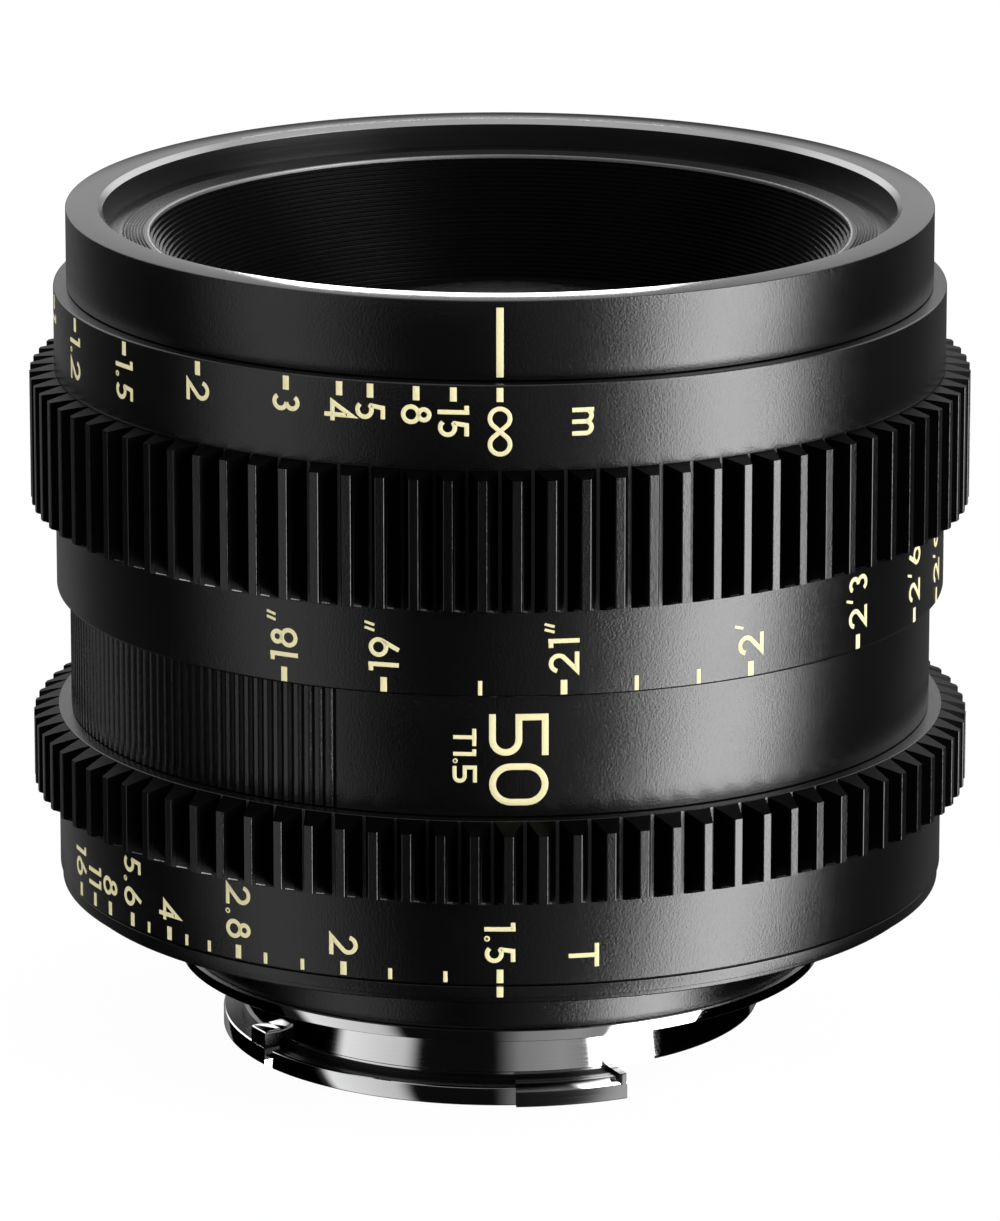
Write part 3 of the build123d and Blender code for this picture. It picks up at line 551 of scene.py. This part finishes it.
def add_teeth(ring, tooth, turn):
    """Copies the tooth round the ring and joins all of them to it."""
    teeth = []
    for number in range(gear_teeth):
        copy = tooth.copy()
        copy.data = tooth.data.copy()
        bpy.context.collection.objects.link(copy)
        swing(copy, turn + 360 * number / gear_teeth)
        teeth.append(copy)
    bpy.data.objects.remove(tooth)
    return join([ring] + teeth, ring.name)


# Focus ring with its gear and the inner lip

gear_top = 53.40
focus_gear_bottom = 42.50
focus_flank_bottom = 43.40
focus_first_tooth = 2.022
groove_floor = ring_radius - 0.13
focus_ring = turned("focus_grip", [
    (focus_lip_radius, focus_bottom), (ring_radius, focus_bottom, 0.24),
    (ring_radius, gear_top), (groove_floor, gear_top), (groove_floor, gear_top + 0.10),
    (ring_radius, gear_top + 0.13), (ring_radius, focus_top, 0.14), (ring_inner_radius, focus_top),
    (ring_inner_radius, lip_top), (focus_lip_radius, lip_top),
], 360)
focus_tooth = make_tooth(gear_top, focus_gear_bottom, 0.17)
focus_ring = add_teeth(focus_ring, focus_tooth, focus_first_tooth)
finish(focus_ring, "focus_ring_body", "black_anodised", black_anodised, "focus_ring")
# Painted shade between the teeth: the flanks and end slopes get the darker black.
accent(focus_ring, gear_gap_shade,
       lambda out, level: focus_flank_bottom < level < gear_top and in_gap(out))


# Aperture ring with its gear and the web that runs on the tube

aperture_gear_bottom = 19.96
aperture_flank_bottom = 20.90
aperture_first_tooth = 1.07
aperture_ring = turned("iris_grip", [
    (ring_radius, aperture_bottom, 0.20), (ring_radius, aperture_top, 0.08),
    (ring_inner_radius, aperture_top), (ring_inner_radius, aperture_web_top),
    (sleeve_bore, aperture_web_top), (sleeve_bore, aperture_web_bottom),
    (ring_inner_radius, aperture_web_bottom), (ring_inner_radius, aperture_bottom),
], 360)
aperture_tooth = make_tooth(aperture_top, aperture_gear_bottom, 0.34)
aperture_ring = add_teeth(aperture_ring, aperture_tooth, aperture_first_tooth)
finish(aperture_ring, "aperture_ring_body", "black_anodised", black_anodised, "aperture_ring")
# Painted shade between the teeth: the flanks and end slopes get the darker black.
accent(aperture_ring, gear_gap_shade,
       lambda out, level: aperture_flank_bottom < level < aperture_top and in_gap(out))


# Mid barrel: smooth at the front and right, fluted round the left side

mid_web_low = 29.76
mid_web_high = 32.76
mid_barrel = turned("mid_sleeve", [
    (barrel_radius, mid_bottom, 0.05), (barrel_radius, mid_top, 0.05),
    (barrel_inner_radius, mid_top), (barrel_inner_radius, mid_web_high), (tube_radius, mid_web_high),
    (tube_radius, mid_web_low), (barrel_inner_radius, mid_web_low), (barrel_inner_radius, mid_bottom),
], 1440, 0.125)
flute_pitch = 1.5
flute_first = -21.875
flute_last = -158.0
flute_shape = ((0.30, 0.08), (0.05, 0.24))


def in_flute(place, reach):
    """Whether a point of the mid barrel's wall lies within some degrees of a flute's middle."""
    if math.hypot(place.x, place.y) < (barrel_radius - 0.2) * mm:
        return False
    angle = math.degrees(math.atan2(place.x, -place.y))
    if angle > flute_first + 0.3 or angle < flute_last - 0.3:
        return False
    off = (flute_first - angle) % flute_pitch
    return min(off, flute_pitch - off) < reach


edit(mid_barrel)
depth_now = 0
for reach, depth in flute_shape:
    bpy.ops.mesh.select_all(action="DESELECT")
    pick_points(mid_barrel, lambda place: in_flute(place, reach))
    shrink = (barrel_radius - depth) / (barrel_radius - depth_now)
    bpy.ops.transform.resize(value=(shrink, shrink, 1), center_override=(0, 0, 0))
    depth_now = depth
close(mid_barrel, 20)
finish(mid_barrel, "barrel", "black_anodised", black_anodised, "mid_barrel")


# Index ring and rear housing

index_ring = turned("index_band", [
    (tube_radius, housing_top), (index_ring_radius, housing_top, 0.06),
    (index_ring_radius, index_ring_top, 0.06), (tube_radius, index_ring_top),
], 360)
finish(index_ring, "barrel", "black_anodised", black_anodised, "rear_index_ring")

housing = turned("rear_shell", [
    (throat_radius, housing_bottom), (skirt_radius, housing_bottom, 0.10), (skirt_radius, skirt_top, 0.20),
    (barrel_radius, housing_edge, 0.12), (barrel_radius, housing_top, 0.05),
    (tube_radius, housing_top), (tube_radius, tube_bottom), (tube_bore, tube_bottom),
    (tube_bore, housing_floor), (throat_radius, housing_floor),
], 288)
finish(housing, "barrel", "black_anodised", black_anodised, "rear_housing")


# Bayonet mount: seat flange, neck with a groove at its foot, three lugs, a lock notch, a ramp and
# a hook

mount = turned("bayonet", [
    (mount_bore, lug_band, 0.10), (neck_radius - 0.12, lug_band), (neck_radius - 0.12, lug_band + 0.16),
    (neck_radius, lug_band + 0.26), (neck_radius, seat_level, 0.06),
    (mount_flange_radius, seat_level, 0.05), (mount_flange_radius, housing_bottom),
    (mount_bore, housing_bottom),
], 288)


def lug(name, radius, thickness, bevel, start, end):
    """One bayonet lug between two angles."""
    return turned(name, [
        (lug_core_radius, 0, 0.10), (radius, 0, 0.10), (radius, thickness - bevel, 0.03),
        (radius - bevel, thickness, 0.03), (neck_radius - 0.15, thickness),
        (neck_radius - 0.15, lug_band + 0.02), (lug_core_radius, lug_band + 0.02),
    ], max(24, int((end - start) * 0.8)), start, end - start)


main_lug_thickness = 1.50
stop_lug_thickness = 1.75
stop_lug_start = 3.2
notch_angle = -55.5
ramp_angle = -59.5
ramp_top = 2.80
hook_angle = 25.2
hook_top = 2.05
main_lug = lug("main_lug", lug_radius, main_lug_thickness, 0.12, -112.0, stop_lug_start)
stop_lug = lug("stop_lug", stop_lug_radius, stop_lug_thickness, 0.55, stop_lug_start, 26.0)
rear_lug = lug("rear_lug", lug_radius, main_lug_thickness, 0.12, 112.0, 188.0)
notch = block("notch", (neck_radius, -0.55, -1), (lug_radius + 1, 0.55, main_lug_thickness))
swing(notch, notch_angle)
cut(main_lug, notch)
ramp = block("ramp", (neck_radius - 0.3, -1.10, main_lug_thickness - 0.1), (lug_radius, 1.10, ramp_top))
edit(ramp)
pick_edges(ramp, lambda a, b: min(a.z, b.z) > (ramp_top - 0.1) * mm)
bpy.ops.mesh.bevel(offset=0.25 * mm, segments=3, affect="EDGES")
close(ramp)
swing(ramp, ramp_angle)
hook = block("hook", (neck_radius - 0.3, -0.28, 0.95), (stop_lug_radius, 0.28, hook_top))
edit(hook)
pick_edges(hook, lambda a, b: min(a.x, b.x) > (stop_lug_radius - 0.1) * mm)
bpy.ops.mesh.bevel(offset=0.12 * mm, segments=3, affect="EDGES")
close(hook)
swing(hook, hook_angle)
head_count = 6
head_circle = 22.80
head_radius = 0.92
head_depth = 1.60
heads = []
for number in range(head_count):
    turn = 2 * math.pi * number / head_count
    bpy.ops.object.select_all(action="DESELECT")
    bpy.ops.mesh.primitive_cylinder_add(
        vertices=32, radius=head_radius * mm, depth=head_depth * mm,
        location=(head_circle * math.cos(turn) * mm, head_circle * math.sin(turn) * mm,
                  (seat_level - 0.20) * mm))
    heads.append(active("head"))
    bpy.ops.object.transform_apply(location=True, rotation=True, scale=True)
cut(mount, join(heads, "heads"))
mount = join([mount, main_lug, stop_lug, rear_lug, ramp, hook], "bayonet")
finish(mount, "barrel", "chrome", chrome, "bayonet_mount")
# Painted shade: the main lug's top, the neck's foot band and the stop lug's outer face get the darker
# chrome.
accent(mount, chrome_painted_shade,
       lambda out, level: out > neck_radius - 0.25 and main_lug_thickness - 0.01 < level < lug_band + 0.05)
accent(mount, chrome_painted_shade, lambda out, level: out > stop_lug_radius - 0.04 and 0.05 < level < 1.25)


# Painted marks. A figure is drawn as strokes one unit high and laid round the ring as flat bars that
# stand a hair proud of the surface.

paint_height = 0.025
longest_part = 0.35


def bow(x, y, radius, start, end, steps=14, tall=None):
    """Points of an arc, from start to end in degrees."""
    tall = tall or radius
    turns = [math.radians(start + (end - start) * step / steps) for step in range(steps + 1)]
    return [(x + radius * math.cos(turn), y + tall * math.sin(turn)) for turn in turns]


figures = {
    "0": (0.70, [bow(0.35, 0.5, 0.265, 90, 450, 28, 0.417)]),
    "1": (0.30, [[(0.217, 0), (0.217, 1)], [(0.217, 0.917), (0.0, 0.917)]]),
    "2": (0.72, [bow(0.35, 0.665, 0.252, 168, -34) + [(0.11, 0.083), (0.72, 0.083)]]),
    "3": (0.62, [bow(0.27, 0.715, 0.20, 150, -90), bow(0.27, 0.30, 0.217, 90, -150)]),
    "4": (0.70, [[(0.50, 0), (0.50, 0.90), (0.09, 0.27), (0.70, 0.27)]]),
    "5": (0.60, [[(0.54, 0.917), (0.18, 0.917), (0.125, 0.53)] + bow(0.27, 0.315, 0.232, 122, -140)]),
    "6": (0.66, [bow(0.33, 0.33, 0.25, 0, 360, 24), [(0.095, 0.42), (0.40, 1.0)]]),
    "7": (0.58, [[(0.0, 0.917), (0.50, 0.917), (0.17, 0)]]),
    "8": (0.66, [bow(0.33, 0.745, 0.172, 0, 360, 24), bow(0.33, 0.33, 0.247, 0, 360, 24)]),
    "9": (0.66, [bow(0.33, 0.667, 0.25, 0, 360, 24), [(0.565, 0.58), (0.26, 0)]]),
    ".": (0.17, [bow(0.085, 0.085, 0.02, 0, 360, 8)]),
    "m": (0.98, [[(0.083, 0), (0.083, 0.70)], bow(0.273, 0.427, 0.19, 180, 0) + [(0.463, 0)],
                 bow(0.653, 0.427, 0.19, 180, 0) + [(0.843, 0)]]),
    "T": (0.78, [[(0.0, 0.917), (0.78, 0.917)], [(0.39, 0.917), (0.39, 0)]]),
    "'": (0.20, [[(0.06, 0.80), (0.15, 1.12)]]),
    '"': (0.40, [[(0.06, 0.80), (0.15, 1.12)], [(0.24, 0.80), (0.33, 1.12)]]),
    "five": (0.726, [[(0.726, 0.945), (0.055, 0.945), (0.055, 0.50), (0.449, 0.50)]
                     + bow(0.449, 0.277, 0.222, 90, -90, 14) + [(0.0, 0.055)]]),
    "nought": (0.734, [bow(0.367, 0.633, 0.312, 0, 180) + bow(0.367, 0.367, 0.312, 180, 360)
                       + [(0.679, 0.633)]]),
}


def word_strokes(text, height, gap=0.15):
    """Broad and thin strokes of a word in millimetres from its lower left corner, and its length."""
    broad, thin = [], []
    along = 0
    for figure in text:
        wide, drawn = figures[figure]
        for stroke in drawn:
            kind = thin if figure in "'\"" else broad
            kind.append([((along + x) * height, y * height) for x, y in stroke])
        along += wide + gap
    return broad, thin, (along - gap) * height


def inlay(name, strokes, width, lay):
    """Flat bars along the strokes, with lay(x, y, height) giving each point its place."""
    bpy.ops.object.select_all(action="DESELECT")
    section = bpy.data.curves.new(name + "_section", "CURVE")
    section.dimensions = "2D"
    bar = section.splines.new("POLY")
    bar.points.add(5)
    half = width / 2
    corners = ((-half, -0.04), (half, -0.04), (half, paint_height - 0.012), (half - 0.03, paint_height),
               (0.03 - half, paint_height), (-half, paint_height - 0.012))
    for point, (x, y) in zip(bar.points, corners):
        point.co = (x * mm, y * mm, 0, 1)
    bar.use_cyclic_u = True
    section_object = bpy.data.objects.new(name + "_section", section)
    bpy.context.collection.objects.link(section_object)
    drawn = bpy.data.curves.new(name, "CURVE")
    drawn.dimensions = "2D"
    drawn.fill_mode = "NONE"
    drawn.bevel_mode = "OBJECT"
    drawn.bevel_object = section_object
    drawn.use_fill_caps = True
    for stroke in strokes:
        closed = len(stroke) > 3 and math.dist(stroke[0], stroke[-1]) < 0.02
        places = []
        for (x0, y0), (x1, y1) in zip(stroke, stroke[1:]):
            parts = max(1, math.ceil(math.hypot(x1 - x0, y1 - y0) / longest_part))
            across, upward = x1 - x0, y1 - y0
            places += [(x0 + across * part / parts, y0 + upward * part / parts) for part in range(parts)]
        if not closed:
            places.append(stroke[-1])
        line = drawn.splines.new("POLY")
        line.points.add(len(places) - 1)
        for point, (x, y) in zip(line.points, places):
            point.co = (x * mm, y * mm, 0, 1)
        line.use_cyclic_u = closed
    mark = bpy.data.objects.new(name, drawn)
    bpy.context.collection.objects.link(mark)
    mark.select_set(True)
    bpy.context.view_layer.objects.active = mark
    bpy.ops.object.convert(target="MESH")
    mark = active(name)
    bpy.data.objects.remove(section_object)
    for point in mark.data.vertices:
        point.co = [value * mm for value in lay(point.co.x / mm, point.co.y / mm, point.co.z / mm)]
    edit(mark)
    close(mark)
    return mark


def around(radius, angle, level, reading):
    """Lays flat marks round a ring. Their x runs down, up or along the ring from the place given."""
    def lay(x, y, height):
        if reading == "down":
            side, rise = y, -x
        elif reading == "up":
            side, rise = -y, x
        else:
            side, rise = x, y
        turn = math.radians(angle) + side / radius
        out = radius + height
        return out * math.sin(turn), -out * math.cos(turn), level + rise
    return lay


def word(name, text, height, width, radius, angle, level, reading, gap=0.15):
    """A word centred across its angle, starting at its level."""
    broad, thin, _ = word_strokes(text, height, gap)
    marks = []
    for strokes, wide in ((broad, width), (thin, width * 0.62)):
        if strokes:
            middled = [[(x, y - height / 2) for x, y in stroke] for stroke in strokes]
            marks.append(inlay(name, middled, wide, around(radius, angle, level, reading)))
    return join(marks, name)


def tick(name, radius, angle, low, high, width):
    """A straight upright mark."""
    return inlay(name, [[(0, 0), (high - low, 0)]], width, around(radius, angle, low, "up"))


figure_height = 2.34
long_height = 1.72
stroke_width = 0.34
tick_width = 0.50
minor_width = 0.31

metric_tick = (rim_level - 7.38, rim_level - 6.32)
metric_figure_level = rim_level - 7.69
feet_tick = (rim_level - 29.77, rim_level - 28.66)
feet_figure_level = rim_level - 28.20
stop_tick = (rim_level - 52.11, rim_level - 51.06)
stop_minor = (rim_level - 52.11, rim_level - 51.26)
stop_figure_level = rim_level - 50.60

focus_marks = []
metric_scale = ((0, ""), (5.7, "15"), (10.3, "8"), (16.1, "5"), (20.1, "4"), (27.3, "3"), (40.7, "2"),
                (54.9, "1.5"), (69.3, "1.2"), (82.6, "1"), (92.9, "0.9"), (106.1, "0.8"), (123.8, "0.7"),
                (148.5, "0.6"), (185.5, "0.5"), (206.0, "0.46"))
for angle, text in metric_scale:
    focus_marks.append(tick("tick", ring_radius, -angle, *metric_tick, tick_width))
    if text:
        height = figure_height if len(text) < 4 else long_height
        focus_marks.append(word("figure", text, height, stroke_width, ring_radius, -angle,
                                metric_figure_level, "down"))
loop_radius = 0.74
loop_middle = 0.98
endless = bow(-loop_middle, 0, loop_radius, 48, 312, 22) + bow(loop_middle, 0, loop_radius, 132, -132, 22)
endless.append(endless[0])
endless = [(x + 1.93, y) for x, y in endless]
for angle, level, reading in ((0, metric_figure_level, "down"), (180, feet_figure_level, "up")):
    focus_marks.append(inlay("endless", [endless], stroke_width,
                             around(ring_radius, angle, level, reading)))
focus_marks.append(word("metre", "m", figure_height, stroke_width, ring_radius, 10.8,
                        rim_level - 7.90, "down"))
feet_scale = ((-27.8, '18"'), (-14.5, '19"'), (7.9, '21"'), (32.9, "2'"), (51.6, "2'3"), (66.6, "2'6"),
              (77.0, "2'9"), (88.7, "3'"), (112.6, "4'"), (126.4, "5'"), (141.9, "7'"), (153.4, "10'"),
              (166.8, "20'"), (180.0, ""))
for angle, text in feet_scale:
    focus_marks.append(tick("tick", ring_radius, angle, *feet_tick, tick_width))
    if text:
        focus_marks.append(word("figure", text, figure_height, stroke_width, ring_radius, angle,
                                feet_figure_level, "up"))
for angle in (-2.45, 17.1, 25.4):
    focus_marks.append(tick("minor", ring_radius, angle, *feet_tick, minor_width))
focus_scale = join(focus_marks, "focus_scale")
finish(focus_scale, "focus_ring_body", "brass", gold_paint)

stop_marks = []
stop_scale = ((0, "1.5"), (19.9, "2"), (34.9, "2.8"), (46.7, "4"), (54.4, "5.6"), (60.0, "8"),
              (64.5, "11"), (69.5, "16"))
for angle, text in stop_scale:
    stop_marks.append(tick("tick", ring_radius, -angle, *stop_tick, tick_width))
    length = word_strokes(text, figure_height)[2]
    stop_marks.append(word("figure", text, figure_height, stroke_width, ring_radius, -angle,
                           stop_figure_level + length, "down"))
for angle in (6.8, 13.8, 25.5, 30.8, 39.6, 43.5, 50.8):
    stop_marks.append(tick("minor", ring_radius, -angle, *stop_minor, minor_width))
stop_marks.append(word("letter", "T", figure_height, stroke_width, ring_radius, 10.5,
                       rim_level - 49.20, "down"))
stop_scale_marks = join(stop_marks, "stop_scale")
finish(stop_scale_marks, "aperture_ring_body", "brass", gold_paint)

barrel_marks = [
    tick("index", barrel_radius, 0, rim_level - 5.77, rim_level - 0.51, 0.54),
    word("focal", ["five", "nought"], 4.41, 0.50, barrel_radius, 2.4, rim_level - 31.50, "down", 0.14),
    word("speed", ["T", "1", ".", "five"], 1.71, 0.30, barrel_radius, -4.5, rim_level - 32.64, "down"),
    tick("stop_index", index_ring_radius, 0, rim_level - 53.28, rim_level - 52.46, tick_width),
]
index_marks = join(barrel_marks, "index_marks")
finish(index_marks, "barrel", "brass", gold_paint)


# Floor, studio light and camera

def seen_straight(nodes, links):
    """One for what the camera sees, straight or through glass, and nought for every other ray."""
    rays = nodes.new("ShaderNodeLightPath")
    either = nodes.new("ShaderNodeMath")
    either.operation = "MAXIMUM"
    links.new(rays.outputs["Is Camera Ray"], either.inputs[0])
    links.new(rays.outputs["Is Transmission Ray"], either.inputs[1])
    return either


bpy.ops.object.select_all(action="DESELECT")
bpy.ops.mesh.primitive_plane_add(size=8, location=(0, 0, -0.0002))
floor = active("floor")
floor_finish = bpy.data.materials.new("floor_white")
floor_finish.use_nodes = True
nodes, links = floor_finish.node_tree.nodes, floor_finish.node_tree.links
nodes.clear()
surface = nodes.new("ShaderNodeOutputMaterial")
matte = nodes.new("ShaderNodeBsdfDiffuse")
matte.inputs["Color"].default_value = (1, 1, 1, 1)
plain = nodes.new("ShaderNodeEmission")
plain_share = nodes.new("ShaderNodeMath")
plain_share.operation = "MULTIPLY"
plain_share.inputs[1].default_value = 0.97
links.new(seen_straight(nodes, links).outputs[0], plain_share.inputs[0])
mix = nodes.new("ShaderNodeMixShader")
links.new(plain_share.outputs[0], mix.inputs["Fac"])
links.new(matte.outputs[0], mix.inputs[1])
links.new(plain.outputs[0], mix.inputs[2])
links.new(mix.outputs[0], surface.inputs["Surface"])
floor.data.materials.append(floor_finish)
floor.visible_glossy = False


def card(name, size, place, turn, strength):
    """A flat card that is seen in reflections alone: a light, or at strength nought a black flag."""
    bpy.ops.mesh.primitive_plane_add(size=size, location=place, rotation=(math.pi / 2, 0, turn))
    made = active(name)
    look = bpy.data.materials.new(name)
    look.use_nodes = True
    nodes, links = look.node_tree.nodes, look.node_tree.links
    nodes.clear()
    surface = nodes.new("ShaderNodeOutputMaterial")
    plain = nodes.new("ShaderNodeEmission")
    plain.inputs["Strength"].default_value = strength
    links.new(plain.outputs[0], surface.inputs["Surface"])
    made.data.materials.append(look)
    made.visible_camera = False
    made.visible_diffuse = False
    made.visible_transmission = False
    made.visible_shadow = False


card("rim_card", 0.046, (-0.004, 0.25, 0.1432), 0, 16.0)
card("right_flag", 0.056, (0.041, 0.002, -0.0235), math.pi / 2, 0.0)
card("left_flag", 0.056, (-0.041, 0.0075, -0.0235), math.pi / 2, 0.0)

full_strength = 12.0
world = bpy.data.worlds.new("studio")
bpy.context.scene.world = world
world.use_nodes = True
nodes, links = world.node_tree.nodes, world.node_tree.links
nodes.clear()
sky = nodes.new("ShaderNodeOutputWorld")
place = nodes.new("ShaderNodeTexCoord")
apart = nodes.new("ShaderNodeSeparateXYZ")
links.new(place.outputs["Generated"], apart.inputs[0])
back_way = nodes.new("ShaderNodeMath")
back_way.operation = "MULTIPLY"
back_way.inputs[1].default_value = -1
links.new(apart.outputs["Y"], back_way.inputs[0])
round_way = nodes.new("ShaderNodeMath")
round_way.operation = "ARCTAN2"
links.new(apart.outputs["X"], round_way.inputs[0])
links.new(back_way.outputs[0], round_way.inputs[1])
turns = nodes.new("ShaderNodeMapRange")
turns.inputs["From Min"].default_value = -math.pi
turns.inputs["From Max"].default_value = math.pi
links.new(round_way.outputs[0], turns.inputs["Value"])


def light_row(row):
    """Light panels round the lens: angle from the camera, to the right, and share of full strength."""
    panels = nodes.new("ShaderNodeValToRGB")
    links.new(turns.outputs["Result"], panels.inputs["Fac"])
    stops = panels.color_ramp
    while len(stops.elements) < len(row):
        stops.elements.new(0.5)
    for stop, (angle, value) in zip(stops.elements, row):
        stop.position = (angle + 180) / 360
    for stop, (angle, value) in zip(stops.elements, row):
        stop.color = (value, value, value, 1)
    return panels


def between(low, high, name="Z"):
    """Share that goes from none to all between two heights of the view direction."""
    rise = nodes.new("ShaderNodeMapRange")
    rise.interpolation_type = "SMOOTHSTEP"
    rise.inputs["From Min"].default_value = low
    rise.inputs["From Max"].default_value = high
    links.new(apart.outputs[name], rise.inputs["Value"])
    return rise


low_panels = light_row((
    (-180, 0.012), (-150, 0.022), (-140, 0.010), (-105, 0.001), (-79, 0.001), (-74, 0.09), (-44, 0.06),
    (-41, 0.045), (-36, 0.0004), (-2, 0.0004), (1, 0.006), (9, 0.022), (28, 0.030), (40, 0.024),
    (44, 1.0), (77, 1.0), (81, 0.10), (88, 0.001), (130, 0.004), (150, 0.012), (180, 0.008),
))
high_panels = light_row((
    (-180, 0.08), (-165, 0.09), (-150, 0.16), (-115, 0.16), (-100, 0.004), (-79, 0.002), (-74, 0.07),
    (-44, 0.10), (-38, 0.04), (0, 0.02), (20, 0.02), (39, 0.02), (42, 1.0), (77, 1.0), (81, 0.10),
    (88, 0.004), (104, 0.01), (115, 0.16), (150, 0.16), (165, 0.09), (180, 0.08),
))
risen = between(0.04, 0.20)
lit = nodes.new("ShaderNodeMix")
lit.data_type = "RGBA"
links.new(risen.outputs["Result"], lit.inputs["Factor"])
links.new(low_panels.outputs["Color"], lit.inputs["A"])
links.new(high_panels.outputs["Color"], lit.inputs["B"])
overhead = nodes.new("ShaderNodeMix")
overhead.data_type = "RGBA"
overhead.inputs["B"].default_value = (0.09, 0.09, 0.09, 1)
links.new(between(0.52, 0.74).outputs["Result"], overhead.inputs["Factor"])
links.new(lit.outputs["Result"], overhead.inputs["A"])
lowest = nodes.new("ShaderNodeMath")
lowest.operation = "MULTIPLY"
links.new(overhead.outputs["Result"], lowest.inputs[0])
links.new(between(-0.85, -0.65).outputs["Result"], lowest.inputs[1])
strong = nodes.new("ShaderNodeMath")
strong.operation = "MULTIPLY_ADD"
strong.inputs[1].default_value = full_strength
links.new(lowest.outputs[0], strong.inputs[0])
fill = nodes.new("ShaderNodeMath")
fill.operation = "MULTIPLY"
fill.inputs[1].default_value = 0.40
by_ray = nodes.new("ShaderNodeLightPath")
links.new(by_ray.outputs["Is Diffuse Ray"], fill.inputs[0])
links.new(fill.outputs[0], strong.inputs[2])
studio = nodes.new("ShaderNodeBackground")
links.new(strong.outputs[0], studio.inputs["Strength"])
white = nodes.new("ShaderNodeBackground")
mix = nodes.new("ShaderNodeMixShader")
links.new(seen_straight(nodes, links).outputs[0], mix.inputs["Fac"])
links.new(studio.outputs[0], mix.inputs[1])
links.new(white.outputs[0], mix.inputs[2])
links.new(mix.outputs[0], sky.inputs["Surface"])

bpy.ops.object.camera_add(location=(0, -0.6552, 0.2114), rotation=(math.radians(74.80), 0, 0))
camera = bpy.context.object
camera.name = "camera"
camera.data.sensor_fit = "HORIZONTAL"
camera.data.sensor_width = 36
camera.data.lens = 313.35
bpy.context.scene.camera = camera
bpy.context.scene.view_settings.view_transform = "Standard"
